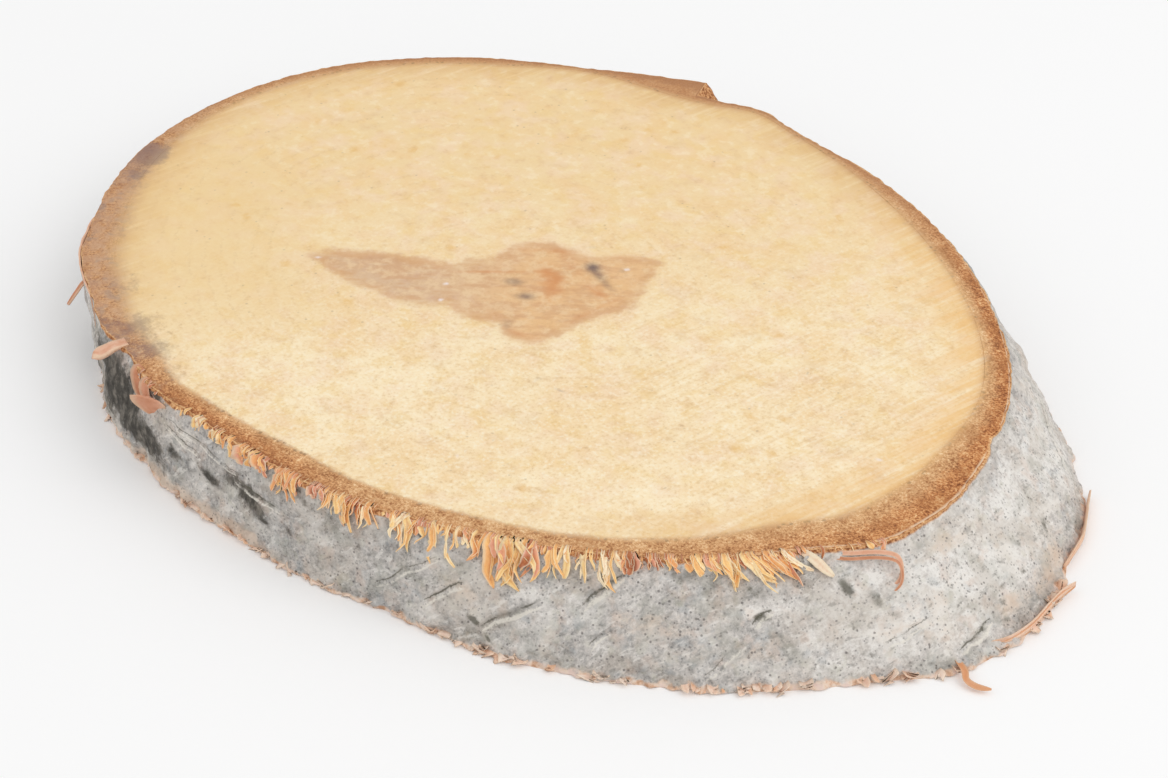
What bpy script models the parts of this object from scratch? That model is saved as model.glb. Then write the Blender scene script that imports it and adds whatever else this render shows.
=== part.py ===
"""Slice sawn at a slant from a birch branch, lying on its lower face.

The two sawn faces are parallel ovals. The branch leans towards +X on its way down, so the lower oval
sits further along +X than the upper one and the bark wall leans with it. Torn inner bark hangs from
the upper rim and sticks out at the lower rim. Wood, bark and fibres are one grown solid.

Metres, +Z up. +X is the long axis of the oval. The origin is the middle of the footprint, on the floor.
Angles are degrees round the middle of an oval, from +X towards +Y.
"""
import math
import random
from collections import namedtuple

import bmesh
import bpy
from mathutils import Vector, noise

MM = 0.001
UP = Vector((0.0, 0.0, 1.0))

# Driving sizes
LENGTH = 110 * MM
WIDTH = 84.4 * MM
THICKNESS = 10 * MM
LEAN_SHIFT = 8 * MM
LOWER_FLARE = 2.0 * MM
BARK_WIDTH = 2.4 * MM
LEAN = math.atan2(LEAN_SHIFT, THICKNESS)

# Swells of an outline: middle angle, half width in degrees, height in millimetres
UPPER_SWELLS = [
    (-178, 23, -1.1), (-139, 8, 1.0), (-124, 7, 1.0), (-107, 5, 0.7), (-90, 8, -0.3), (-45, 24, -1.2),
    (-10, 5, 1.5), (-2, 7, 1.4), (38, 22, -1.1), (99, 6, 1.4), (125, 40, 0.3),
]
LOWER_SWELLS = [
    (-130, 13, 2.2), (-113, 8, 0.8), (-73, 12, -1.4), (-48, 14, 0.3), (6, 16, 0.6), (44, 18, -1.5),
]
BARK_SWELLS = [
    (-140, 20, 1.1), (-80, 9, 0.8), (-42, 10, -0.4), (-5, 18, 2.7), (92, 20, -1.7), (128, 10, -1.6),
]

# Loose outer bark at the back: a plate that ends in a step and thins out with rising angle
PLATE_STEP_ANGLE = 110.0
PLATE_END_ANGLE = 131.0
PLATE_HEIGHT = 3.3 * MM
PLATE_HOLLOWNESS = 1.3

# Small nick in the rim at the right
NICK_ANGLE = 11.0
NICK_HALF_WIDTH = 1.6
NICK_DEPTH = 0.5 * MM

# Mesh of the slice
COLUMNS = 210
RING_SHARES = [0.5, 1.0]
WALL_DEPTHS = [0.03, 0.14, 0.26, 0.38, 0.50, 0.62, 0.74, 0.86, 0.97]
RIM_BEVEL = 0.15 * MM
RING_DROP = 0.05 * MM
RING_ROUGHNESS = 0.07 * MM
RING_GRAIN = 1.3 * MM
FOOT_BEVEL = 0.25 * MM
SHARP_ANGLE = 40.0

# Relief of the bark
RAGGED_HEIGHT = 0.55 * MM
RAGGED_LENGTH = 1.1 * MM
RAGGED_FROM_DEPTH = 0.8
WALL_BULGE = 0.25 * MM
WAVE_HEIGHT = 0.22 * MM
WAVE_LENGTH = 9 * MM
CREASE_HEIGHT = 0.13 * MM
CREASE_SPACING = 5.4 * MM
SCALE_HEIGHT = 0.35 * MM
SCALE_SIZE = 2.2 * MM
SCALY_ANGLE = -132.0
SCALY_HALF_WIDTH = 34.0

LENTICEL_SEED = 11
LENTICEL_COUNT = 60
LENTICEL_HALF_LENGTH = (1.5, 4.0)
LENTICEL_HALF_WIDTH = 1.1 * MM
LENTICEL_HEIGHT = 0.30 * MM
LENTICEL_MOST = 1.3

# Torn fibres
FIBRE_SEED = 5
FIBRE_THICKNESS = 0.62 * MM
TOOTH_THICKNESS = 0.8 * MM
ROOT_DEPTH = 1.4 * MM
UPPER_ROOT_DROP = 0.75 * MM
LOWER_ROOT_RISE = 0.9 * MM

# Flakes that hang from the upper rim: angle, and in millimetres width, length, reach outward and drift
# along the rim
UPPER_FLAKES = [
    (-96.0, 0.9, 2.2, 0.9, -0.3), (-90.3, 1.3, 1.6, 0.6, 0.6), (-86.5, 1.9, 1.9, 0.6, 0.4),
    (-83.2, 1.9, 2.4, 0.7, 0.5), (-78.2, 1.3, 3.0, 0.7, 0.6), (-73.9, 2.4, 1.5, 0.4, 0.5),
    (-71.3, 1.6, 2.9, 0.8, 0.7), (-69.6, 1.5, 2.5, 0.7, 0.6), (-67.6, 1.4, 3.1, 0.8, 0.6),
    (-66.0, 1.1, 2.7, 0.7, 0.5), (-62.4, 1.3, 2.6, 0.8, 0.8), (-60.6, 1.5, 4.1, 0.9, 0.3),
    (-58.4, 1.4, 2.9, 0.8, 0.2), (-56.9, 1.2, 3.4, 1.0, 0.3), (-55.2, 1.0, 4.3, 1.2, 0.2),
    (-53.5, 1.5, 3.1, 0.9, 0.2), (-52.0, 1.3, 2.8, 0.8, 0.2), (-49.6, 2.1, 5.2, 1.3, 0.7),
    (-47.0, 2.0, 5.1, 1.3, 1.0), (-45.0, 1.0, 4.1, 0.9, 0.2), (-42.8, 1.0, 3.3, 0.9, -0.2),
    (-41.2, 0.8, 4.3, 1.0, 0.1), (-38.6, 1.1, 3.0, 1.0, 0.4), (-37.0, 1.3, 3.7, 1.0, 0.6),
    (-34.2, 2.6, 1.7, 0.7, 0.4), (-30.6, 1.0, 1.9, 0.7, 0.6), (-28.3, 1.8, 1.6, 0.6, 0.7),
    (-25.8, 1.2, 2.3, 0.8, 1.2), (-24.0, 1.1, 2.8, 1.0, 1.8), (-22.8, 1.2, 3.8, 1.2, 2.2),
    (-21.6, 1.1, 4.2, 1.2, 2.4), (-20.2, 1.0, 3.6, 1.2, 2.6), (-18.9, 2.1, 3.6, 1.4, 4.0),
    (-16.0, 1.7, 1.9, 1.0, 2.2), (-13.6, 0.9, 1.7, 0.8, 1.6),
]
# Short fringe between the flakes: first angle, last angle, degrees from fibre to fibre
UPPER_FRINGE = [(-101, -80, 2.2), (-63, -36, 1.5), (-32, -17, 1.5)]
FRINGE_LENGTH = (0.8, 2.0)
FRINGE_WIDTH = (0.7, 1.0)
FRINGE_REACH = 0.6 * MM
FRINGE_DRIFT = 0.3 * MM
FRINGE_CLEARANCE = 0.75

# Teeth that stick out at the lower rim: angle, width, reach, rise (millimetres)
LOWER_TEETH = [
    (-119.0, 1.6, 1.2, 0.3), (-113.0, 1.4, 1.1, 0.2), (-104.5, 1.7, 1.2, 0.3), (-97.0, 1.3, 1.1, 0.1),
    (-70.0, 2.2, 1.3, 0.5), (-59.0, 1.4, 1.0, 0.1), (-35.6, 1.2, 1.4, 0.0), (-33.2, 1.0, 1.2, 0.2),
    (-30.0, 1.3, 1.5, 0.1), (-18.0, 1.5, 1.3, 0.0), (13.5, 1.4, 0.9, 0.3), (18.0, 1.6, 0.9, 0.5),
]

# A torn piece: its middle line, its width at each point but the last, its thickness, and the way it faces
Strip = namedtuple("Strip", "points widths thickness facing")


def swell_sum(angle, swells):
    total = 0.0
    for middle, half_width, height in swells:
        away = (angle - middle + 180.0) % 360.0 - 180.0
        total += height * MM * math.exp(-(away / half_width) ** 2)
    return total


def oval_radius(angle):
    a = math.radians(angle)
    return 1.0 / math.hypot(math.cos(a) / (LENGTH / 2), math.sin(a) / (WIDTH / 2))


def plate_height(angle):
    if not PLATE_STEP_ANGLE <= angle <= PLATE_END_ANGLE:
        return 0.0
    left = (PLATE_END_ANGLE - angle) / (PLATE_END_ANGLE - PLATE_STEP_ANGLE)
    return PLATE_HEIGHT * left ** PLATE_HOLLOWNESS


def nick_depth(angle):
    return NICK_DEPTH * math.exp(-((angle - NICK_ANGLE) / NICK_HALF_WIDTH) ** 2)


def plain_radius(angle):
    """The upper outline before the loose plate and the nick."""
    return oval_radius(angle) + swell_sum(angle, UPPER_SWELLS)


def upper_radius(angle):
    return plain_radius(angle) + plate_height(angle) - nick_depth(angle)


def lower_radius(angle):
    return upper_radius(angle) + LOWER_FLARE + swell_sum(angle, LOWER_SWELLS)


def wood_radius(angle):
    """Where the bark begins on a sawn face."""
    return plain_radius(angle) - BARK_WIDTH - swell_sum(angle, BARK_SWELLS)


def direction(angle):
    a = math.radians(angle)
    return Vector((math.cos(a), math.sin(a), 0.0))


def outward(angle):
    """Level normal of the oval."""
    a = math.radians(angle)
    return Vector((math.cos(a) / LENGTH ** 2, math.sin(a) / WIDTH ** 2, 0.0)).normalized()


def along_rim(angle):
    out = outward(angle)
    return Vector((-out.y, out.x, 0.0))


def upper_point(angle, inset=0.0, drop=0.0):
    height = UP * (THICKNESS - drop)
    return direction(angle) * upper_radius(angle) - outward(angle) * inset + height


def lower_point(angle, inset=0.0, rise=0.0):
    middle = Vector((LEAN_SHIFT, 0.0, rise))
    return middle + direction(angle) * lower_radius(angle) - outward(angle) * inset


def trunk_height(point):
    """Distance along the leaning branch axis, downwards from the upper face."""
    return point.x * math.sin(LEAN) + (THICKNESS - point.z) * math.cos(LEAN)


def make_lenticels():
    """Raised dashes that run round the branch: angle, height on the branch, half length."""
    rng = random.Random(LENTICEL_SEED)
    lenticels = []
    for _ in range(LENTICEL_COUNT):
        angle = rng.uniform(-180.0, 180.0)
        on_wall = upper_point(angle).lerp(lower_point(angle), rng.uniform(0.1, 0.9))
        half_length = rng.uniform(*LENTICEL_HALF_LENGTH) * MM
        lenticels.append((angle, trunk_height(on_wall), half_length))
    return lenticels


LENTICELS = make_lenticels()


def lenticel_relief(angle, height):
    total = 0.0
    for middle, level, half_length in LENTICELS:
        around = math.radians((angle - middle + 180.0) % 360.0 - 180.0) * WIDTH / 2
        if abs(around) > 2.5 * half_length:
            continue
        total += math.exp(-(around / half_length) ** 4 - ((height - level) / LENTICEL_HALF_WIDTH) ** 2)
    return LENTICEL_HEIGHT * min(total, LENTICEL_MOST)


def bark_relief(angle, point):
    """How far the bark stands out from its smooth wall."""
    height = trunk_height(point)
    waves = WAVE_HEIGHT * noise.noise(point / WAVE_LENGTH)
    wander = 2.0 * noise.noise(point / (2 * WAVE_LENGTH))
    creases = CREASE_HEIGHT * math.sin(2 * math.pi * height / CREASE_SPACING + wander)
    away = (angle - SCALY_ANGLE + 180.0) % 360.0 - 180.0
    scales = SCALE_HEIGHT * math.exp(-(away / SCALY_HALF_WIDTH) ** 2) * noise.noise(point / SCALE_SIZE)
    return waves + creases + scales + lenticel_relief(angle, height)


def ragged_edge(point):
    """Small torn teeth of the lower rim."""
    return RAGGED_HEIGHT * noise.noise(point / RAGGED_LENGTH)


def wall_point(angle, depth):
    """A point of the bark wall; depth runs from 0 at the upper face to 1 at the lower face."""
    smooth = upper_point(angle).lerp(lower_point(angle), depth)
    belly = WALL_BULGE * math.sin(math.pi * depth)
    torn = ragged_edge(smooth) if depth > RAGGED_FROM_DEPTH else 0.0
    return smooth + outward(angle) * (belly + torn + bark_relief(angle, smooth))


def ring_point(angle, across):
    """A point of the bark's sawn edge; across runs from 0 at the wood to 1 at the bevelled rim."""
    inner = direction(angle) * wood_radius(angle) + Vector((0, 0, THICKNESS))
    point = inner.lerp(upper_point(angle, inset=RIM_BEVEL), across)
    grain = RING_ROUGHNESS * noise.noise(point / RING_GRAIN)
    point.z -= RING_DROP * across + RING_ROUGHNESS + grain
    return point


def slice_loops():
    """Closed loops of points from the upper sawn face, over the wall, to the lower sawn face."""
    angles = [360.0 * i / COLUMNS - 180.0 for i in range(COLUMNS)]
    face_height = Vector((0, 0, THICKNESS))
    loops = [[direction(angle) * wood_radius(angle) + face_height for angle in angles]]
    loops += [[ring_point(angle, across) for angle in angles] for across in RING_SHARES]
    loops += [[wall_point(angle, depth) for angle in angles] for depth in WALL_DEPTHS]
    loops.append([lower_point(angle, inset=FOOT_BEVEL) for angle in angles])
    return loops


def make_slice(materials):
    bm = bmesh.new()
    loops = [[bm.verts.new(point) for point in loop] for loop in slice_loops()]
    for band, (upper, lower) in enumerate(zip(loops, loops[1:])):
        for i in range(COLUMNS):
            j = (i + 1) % COLUMNS
            face = bm.faces.new((upper[i], lower[i], lower[j], upper[j]))
            face.material_index = INNER_BARK if band < len(RING_SHARES) else OUTER_BARK
            face.smooth = True
    bm.faces.new(loops[0]).material_index = WOOD
    bm.faces.new(list(reversed(loops[-1]))).material_index = WOOD
    return finish_object(bm, "wood_slice", materials)


def sweep_strip(strip):
    """A closed flat strip along its points: four-sided sections and a pointed end."""
    bm = bmesh.new()
    points = strip.points
    sections = []
    for i, point in enumerate(points[:-1]):
        tangent = (points[i + 1] - points[max(i - 1, 0)]).normalized()
        side = tangent.cross(strip.facing).normalized()
        half_width = side * strip.widths[i] / 2
        half_thickness = side.cross(tangent) * strip.thickness / 2
        corners = (half_width + half_thickness, half_thickness - half_width,
                   -half_width - half_thickness, half_width - half_thickness)
        sections.append([bm.verts.new(point + corner) for corner in corners])
    tip = bm.verts.new(points[-1])
    for first, second in zip(sections, sections[1:]):
        for k in range(4):
            bm.faces.new((first[k], first[(k + 1) % 4], second[(k + 1) % 4], second[k]))
    last = sections[-1]
    for k in range(4):
        bm.faces.new((last[k], last[(k + 1) % 4], tip))
    bm.faces.new(list(reversed(sections[0])))
    bmesh.ops.recalc_face_normals(bm, faces=bm.faces)
    for strip_face in bm.faces:
        strip_face.material_index = INNER_BARK
    return bm


def hanging_flake(angle, width, length, reach, drift):
    """A flake that leaves the upper rim and bends down along the bark."""
    out = outward(angle)
    along = along_rim(angle)
    down = -UP
    rim = upper_point(angle, drop=UPPER_ROOT_DROP)
    lean = Vector((LEAN_SHIFT / THICKNESS, 0, 0)).dot(out) * out
    points = [
        rim - out * ROOT_DEPTH,
        rim + out * 0.35 * MM,
        rim + out * 0.75 * reach + along * 0.35 * drift + (down + lean) * 0.40 * length,
        rim + out * reach + along * drift + (down + lean) * length,
    ]
    return Strip(points, [0.9 * width, width, 0.8 * width], FIBRE_THICKNESS, out + 0.8 * UP)


def lower_tooth(angle, width, reach, rise):
    """A torn tooth that sticks out at the lower rim."""
    out = outward(angle)
    rim = lower_point(angle, rise=LOWER_ROOT_RISE)
    points = [
        rim - out * ROOT_DEPTH,
        rim + out * 0.2 * reach,
        rim + out * 0.6 * reach + UP * 0.4 * rise,
        rim + out * reach + UP * rise,
    ]
    return Strip(points, [width, 0.9 * width, 0.6 * width], TOOTH_THICKNESS, UP)


def smooth_path(points, steps):
    """Points on a smooth curve through the given ones."""
    path = []
    last = len(points) - 1
    for i in range(last):
        before, start = points[max(i - 1, 0)], points[i]
        end, after = points[i + 1], points[min(i + 2, last)]
        for step in range(steps):
            t = step / steps
            path.append(0.5 * (2 * start + (end - before) * t
                               + (2 * before - 5 * start + 4 * end - after) * t * t
                               + (3 * start - before - 3 * end + after) * t ** 3))
    path.append(points[last])
    return path


def splinter():
    """Thin splinter that points out over the left rim."""
    angle = -134.5
    out = outward(angle)
    along = along_rim(angle)
    rim = upper_point(angle, drop=0.7 * MM)
    points = [rim - out * 1.6 * MM, rim + out * 0.2 * MM, rim + out * 1.2 * MM + along * 0.8 * MM,
              rim + out * 2.6 * MM + along * 2.2 * MM - UP * 0.8 * MM]
    return Strip(points, [0.9 * MM, 0.9 * MM, 0.8 * MM], FIBRE_THICKNESS, UP)


def tongue():
    """Thick round-ended tongue of inner bark further along the left rim."""
    angle = -117.0
    out = outward(angle)
    along = along_rim(angle)
    rim = upper_point(angle, drop=0.75 * MM)
    points = [rim - out * 2.0 * MM, rim + out * 0.4 * MM, rim + out * 2.2 * MM - along * 1.0 * MM,
              rim + out * 3.4 * MM - along * 1.8 * MM,
              rim + out * 4.1 * MM - along * 2.2 * MM - UP * 0.1 * MM]
    return Strip(points, [1.3 * MM, 1.4 * MM, 1.9 * MM, 1.5 * MM], 1.1 * MM, UP)


def pocket_flap():
    """Flap of bark that is still joined at its lower end and leans out from the wall."""
    angle = -106.0
    out = outward(angle)
    rim = upper_point(angle)
    points = [rim - out * 0.8 * MM - UP * 5.6 * MM, rim + out * 0.4 * MM - UP * 4.6 * MM,
              rim + out * 1.5 * MM - UP * 3.2 * MM, rim + out * 2.2 * MM - UP * 1.9 * MM,
              rim + out * 2.3 * MM - UP * 1.5 * MM]
    return Strip(points, [1.0 * MM, 1.8 * MM, 3.2 * MM, 4.4 * MM], 0.7 * MM, out - 0.5 * UP)


def pocket_strand():
    """Fold of inner bark that runs down from the rim to the flap."""
    angle = -110.5
    out = outward(angle)
    along = along_rim(angle)
    rim = upper_point(angle, drop=0.7 * MM)
    points = [rim - out * 1.6 * MM,
              rim + out * 0.5 * MM,
              rim + out * 1.6 * MM + along * 0.8 * MM - UP * 0.8 * MM,
              rim + out * 2.1 * MM + along * 1.9 * MM - UP * 2.4 * MM]
    return Strip(points, [1.6 * MM, 1.6 * MM, 1.2 * MM], 0.8 * MM, out + UP)


def rim_curl():
    """Long thin strip that lifts off the right-hand rim, arches along it and hangs down."""
    start = upper_point(-16.5, inset=1.3 * MM, drop=0.8 * MM)
    points = [start,
              upper_point(-14.6, inset=-0.5 * MM, drop=0.9 * MM),
              upper_point(-11.6, inset=-1.0 * MM, drop=0.8 * MM),
              upper_point(-9.4, inset=-2.0 * MM, drop=1.3 * MM),
              upper_point(-9.6, inset=-2.6 * MM, drop=3.0 * MM),
              upper_point(-10.6, inset=-2.6 * MM, drop=4.6 * MM)]
    path = smooth_path(points, 2)
    return Strip(path, [0.9 * MM] * (len(path) - 1), FIBRE_THICKNESS, outward(-11.0) + UP)


def foot_curl():
    """Curl of bark that hangs out at the lower rim, near the right-hand end."""
    middle = lower_point(-9.6, rise=0.9 * MM)
    out = outward(-9.6)
    along = along_rim(-9.6)
    points = [middle - out * 1.6 * MM + along * 0.6 * MM,
              middle + out * 0.6 * MM + along * 0.3 * MM,
              middle + out * 1.7 * MM - along * 0.9 * MM - UP * 0.25 * MM,
              middle + out * 2.9 * MM - along * 0.3 * MM - UP * 0.3 * MM,
              middle + out * 3.6 * MM + along * 0.9 * MM + UP * 0.2 * MM]
    return Strip(points, [1.2 * MM, 1.3 * MM, 1.2 * MM, 0.9 * MM], FIBRE_THICKNESS, UP)


def foot_strip():
    """Long torn strip that lies along the lower rim and stands off it at its far end."""
    angles = [-5.0, -3.0, 0.0, 3.0, 5.6, 7.6]
    insets = [1.4, 0.5, 0.4, 0.3, -0.1, -1.1]
    points = [lower_point(angle, inset=inset * MM, rise=0.9 * MM) for angle, inset in zip(angles, insets)]
    return Strip(points, [1.1 * MM] * (len(points) - 1), TOOTH_THICKNESS, outward(2.0))


def all_strips():
    """Every torn piece."""
    rng = random.Random(FIBRE_SEED)
    strips = []
    for angle, width, length, reach, drift in UPPER_FLAKES:
        strips.append(hanging_flake(angle, width * MM, length * MM, reach * MM, drift * MM))
    flake_angles = [flake[0] for flake in UPPER_FLAKES]
    for first, last, spacing in UPPER_FRINGE:
        for k in range(int((last - first) / spacing)):
            angle = first + spacing * (k + rng.uniform(0.3, 0.7))
            length = rng.uniform(*FRINGE_LENGTH) * MM
            width = rng.uniform(*FRINGE_WIDTH) * MM
            if min(abs(angle - taken) for taken in flake_angles) > FRINGE_CLEARANCE:
                strips.append(hanging_flake(angle, width, length, FRINGE_REACH, FRINGE_DRIFT))
    for angle, width, reach, rise in LOWER_TEETH:
        strips.append(lower_tooth(angle, width * MM, reach * MM, rise * MM))
    strips += [splinter(), tongue(), pocket_flap(), pocket_strand(), rim_curl(), foot_curl(), foot_strip()]
    return strips


def make_material(name, colour, roughness):
    material = bpy.data.materials.new(name)
    material.use_nodes = True
    shader = material.node_tree.nodes["Principled BSDF"]
    shader.inputs["Base Color"].default_value = (*colour, 1.0)
    shader.inputs["Roughness"].default_value = roughness
    shader.inputs["Metallic"].default_value = 0.0
    return material


# Material slots, in the order in which make_materials returns them
WOOD = 0
INNER_BARK = 1
OUTER_BARK = 2


def make_materials():
    return [
        make_material("sawn_birch", (0.90, 0.67, 0.39), 0.62),
        make_material("torn_inner_bark", (0.60, 0.33, 0.15), 0.80),
        make_material("grey_birch_bark", (0.42, 0.41, 0.40), 0.75),
    ]


def finish_object(bm, name, materials):
    mesh = bpy.data.meshes.new(name)
    bm.to_mesh(mesh)
    bm.free()
    for material in materials:
        mesh.materials.append(material)
    piece = bpy.data.objects.new(name, mesh)
    bpy.context.scene.collection.objects.link(piece)
    return piece


def join_strips(body, materials):
    """Fuse the torn pieces into the slice with one union on their collection."""
    torn = bpy.data.collections.new("torn_pieces")
    bpy.context.scene.collection.children.link(torn)
    for k, strip in enumerate(all_strips()):
        piece = finish_object(sweep_strip(strip), f"torn_piece_{k}", materials)
        bpy.context.scene.collection.objects.unlink(piece)
        torn.objects.link(piece)

    union = body.modifiers.new("torn_pieces", "BOOLEAN")
    union.operation = "UNION"
    union.operand_type = "COLLECTION"
    union.collection = torn
    union.solver = "EXACT"
    evaluated = body.evaluated_get(bpy.context.evaluated_depsgraph_get())
    joined = bpy.data.meshes.new_from_object(evaluated)
    body.modifiers.clear()
    body.data = joined

    for piece in list(torn.objects):
        bpy.data.objects.remove(piece, do_unlink=True)
    bpy.data.collections.remove(torn)


def face_shells(bm):
    """Groups of faces that hang together, the largest first."""
    waiting = set(bm.faces)
    shells = []
    while waiting:
        shell = set()
        edge_of_shell = [waiting.pop()]
        while edge_of_shell:
            face = edge_of_shell.pop()
            shell.add(face)
            for edge in face.edges:
                for neighbour in edge.link_faces:
                    if neighbour in waiting:
                        waiting.remove(neighbour)
                        edge_of_shell.append(neighbour)
        shells.append(shell)
    return sorted(shells, key=len, reverse=True)


def fill_sealed_hollows(body):
    """Gaps that flakes close off against the wall are filled: only the outer skin stays."""
    bm = bmesh.new()
    bm.from_mesh(body.data)
    for shell in face_shells(bm)[1:]:
        bmesh.ops.delete(bm, geom=list(shell), context="FACES")
    bm.to_mesh(body.data)
    bm.free()


def centre_on_footprint(body):
    """Move the mesh so that the origin is the middle of its footprint."""
    xs = [vertex.co.x for vertex in body.data.vertices]
    ys = [vertex.co.y for vertex in body.data.vertices]
    middle = Vector(((min(xs) + max(xs)) / 2, (min(ys) + max(ys)) / 2, 0.0))
    for vertex in body.data.vertices:
        vertex.co -= middle


def main():
    for old in list(bpy.data.objects):
        bpy.data.objects.remove(old, do_unlink=True)
    materials = make_materials()
    body = make_slice(materials)
    join_strips(body, materials)
    fill_sealed_hollows(body)
    centre_on_footprint(body)
    body.data.shade_smooth()
    body.data.set_sharp_from_angle(angle=math.radians(SHARP_ANGLE))


main()
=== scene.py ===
"""Looks of the slanted birch slice: sawn wood, bark and its relief, torn inner bark, floor, lights, camera.

Metres, +Z up, in the part's own frame. +X is the long axis of the oval, towards the side where the bark
leans out. Angles are degrees round the middle of an oval, from +X towards +Y.
"""
import math
import random
from collections import namedtuple

import bpy
import numpy as np
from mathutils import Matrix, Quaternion, Vector, noise


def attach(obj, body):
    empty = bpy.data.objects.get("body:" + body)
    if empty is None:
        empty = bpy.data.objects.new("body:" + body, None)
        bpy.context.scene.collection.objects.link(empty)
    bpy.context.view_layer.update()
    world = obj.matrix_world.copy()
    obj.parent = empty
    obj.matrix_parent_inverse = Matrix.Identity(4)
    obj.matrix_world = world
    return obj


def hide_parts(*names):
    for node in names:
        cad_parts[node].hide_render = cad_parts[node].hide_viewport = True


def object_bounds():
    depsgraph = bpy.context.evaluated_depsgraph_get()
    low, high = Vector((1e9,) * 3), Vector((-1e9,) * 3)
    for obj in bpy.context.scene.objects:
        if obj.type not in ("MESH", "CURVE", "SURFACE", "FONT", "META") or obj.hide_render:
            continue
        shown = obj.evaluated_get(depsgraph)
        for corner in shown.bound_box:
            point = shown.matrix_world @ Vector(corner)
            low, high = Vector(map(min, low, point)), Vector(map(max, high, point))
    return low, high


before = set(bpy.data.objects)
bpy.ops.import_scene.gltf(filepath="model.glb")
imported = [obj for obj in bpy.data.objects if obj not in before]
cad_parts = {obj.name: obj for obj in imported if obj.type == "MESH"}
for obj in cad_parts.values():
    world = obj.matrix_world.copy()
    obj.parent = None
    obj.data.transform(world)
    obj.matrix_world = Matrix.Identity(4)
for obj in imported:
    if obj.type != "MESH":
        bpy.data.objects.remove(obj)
CAD_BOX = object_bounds()

MM = 0.001
UP = Vector((0.0, 0.0, 1.0))
NODE = "wood_slice"
BODY = "root"

# Driving sizes of the slice
LENGTH = 110 * MM
WIDTH = 84.4 * MM
THICKNESS = 10 * MM
LEAN_SHIFT = 8 * MM
LOWER_FLARE = 2.0 * MM
BARK_WIDTH = 2.4 * MM
LEAN = math.atan2(LEAN_SHIFT, THICKNESS)

# Swells of an outline: middle angle, half width in degrees, height in millimetres
UPPER_SWELLS = [
    (-178, 23, -1.1), (-139, 8, 1.0), (-124, 7, 1.0), (-107, 5, 0.7), (-90, 8, -0.3), (-45, 24, -1.2),
    (-10, 5, 1.5), (-2, 7, 1.4), (38, 22, -1.1), (99, 6, 1.4), (125, 40, 0.3),
]
LOWER_SWELLS = [
    (-130, 13, 2.2), (-113, 8, 0.8), (-73, 12, -1.4), (-48, 14, 0.3), (6, 16, 0.6), (44, 18, -1.5),
]
BARK_SWELLS = [
    (-140, 20, 1.1), (-80, 9, 0.8), (-42, 10, -0.4), (-5, 18, 2.7), (92, 20, -1.7), (128, 10, -1.6),
]
PLATE_STEP_ANGLE = 110.0
PLATE_END_ANGLE = 131.0
PLATE_HEIGHT = 3.3 * MM
PLATE_HOLLOWNESS = 1.3
NICK_ANGLE = 11.0
NICK_HALF_WIDTH = 1.6
NICK_DEPTH = 0.5 * MM

# Meshes of the slice
WOOD_COLUMNS = 720
HEART_RADIUS_SHARE = 0.5
HEART_ROWS = 62
OUTER_ROWS = 30
UNDERSIDE_ROWS = 14
WOOD_SWELL_HEIGHT = 0.05 * MM
WOOD_SWELL_LENGTH = 6 * MM
BARK_COLUMNS = 1280
RING_ROWS = 11
WALL_ROWS = 46
WALL_DEPTHS = (0.012, 0.985)
FOOT_ROWS = 5
FOOT_LIFT = 0.02 * MM
RIM_BEVEL = 0.15 * MM
FOOT_BEVEL = 0.25 * MM
BARK_OVERLAP = 0.06 * MM
SHARP_ANGLE = 60.0
LEVEL_LIMIT = 1e-6

# Relief of the sawn bark ring
RING_DROP = 0.05 * MM
RING_ROUGHNESS = 0.06 * MM
RING_GRAIN = 0.45 * MM
RING_ROUGH_FROM = 0.25
LEFT_RING_SMOOTHNESS = 0.7
RIM_FRAY_HEIGHT = 0.18 * MM
RIM_FRAY_LENGTH = 0.9 * MM
RIM_FRAY_DEPTH = 0.06

# Relief of the bark wall, shared with the solid model
RAGGED_HEIGHT = 0.55 * MM
RAGGED_LENGTH = 1.1 * MM
RAGGED_DEPTHS = (0.78, 0.9)
RELIEF_DEPTHS = (-0.02, 0.05)
WALL_BULGE = 0.25 * MM
WAVE_HEIGHT = 0.22 * MM
WAVE_LENGTH = 9 * MM
CREASE_HEIGHT = 0.13 * MM
CREASE_SPACING = 5.4 * MM
CREASE_WANDER = 2.0
SCALE_HEIGHT = 0.35 * MM
SCALE_SIZE = 2.2 * MM
SCALY_ANGLE = -132.0
SCALY_HALF_WIDTH = 34.0
LENTICEL_SEED = 11
LENTICEL_COUNT = 60
LENTICEL_HALF_LENGTH = (1.5, 4.0)
LENTICEL_HALF_WIDTH = 1.1 * MM
LENTICEL_HEIGHT = 0.30 * MM
LENTICEL_MOST = 1.3

# Finer relief, which only this model has
FINE_CREASE_HEIGHT = 0.06 * MM
FINE_CREASE_SPACING = 1.3 * MM
FINE_CREASE_LENGTH = 2.5 * MM
FINE_CREASE_WANDER = 3.0
FINE_CREASE_WANDER_LENGTH = 3.5 * MM
GRIT_HEIGHT = 0.07 * MM
GRIT_SIZE = 0.6 * MM
FURROW_DEPTH = 0.26 * MM
FURROW_HALF_WIDTH = 0.20
LIP_HEIGHT = 0.18 * MM
LIP_OFFSET = 0.40
FURROW_WANDER = 0.35
FURROW_WANDER_LENGTH = 2.2 * MM
FURROW_END = 0.6
FAR_FROM_FURROW = 5.0
WALL_LENGTH = 1.2 * THICKNESS

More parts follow.
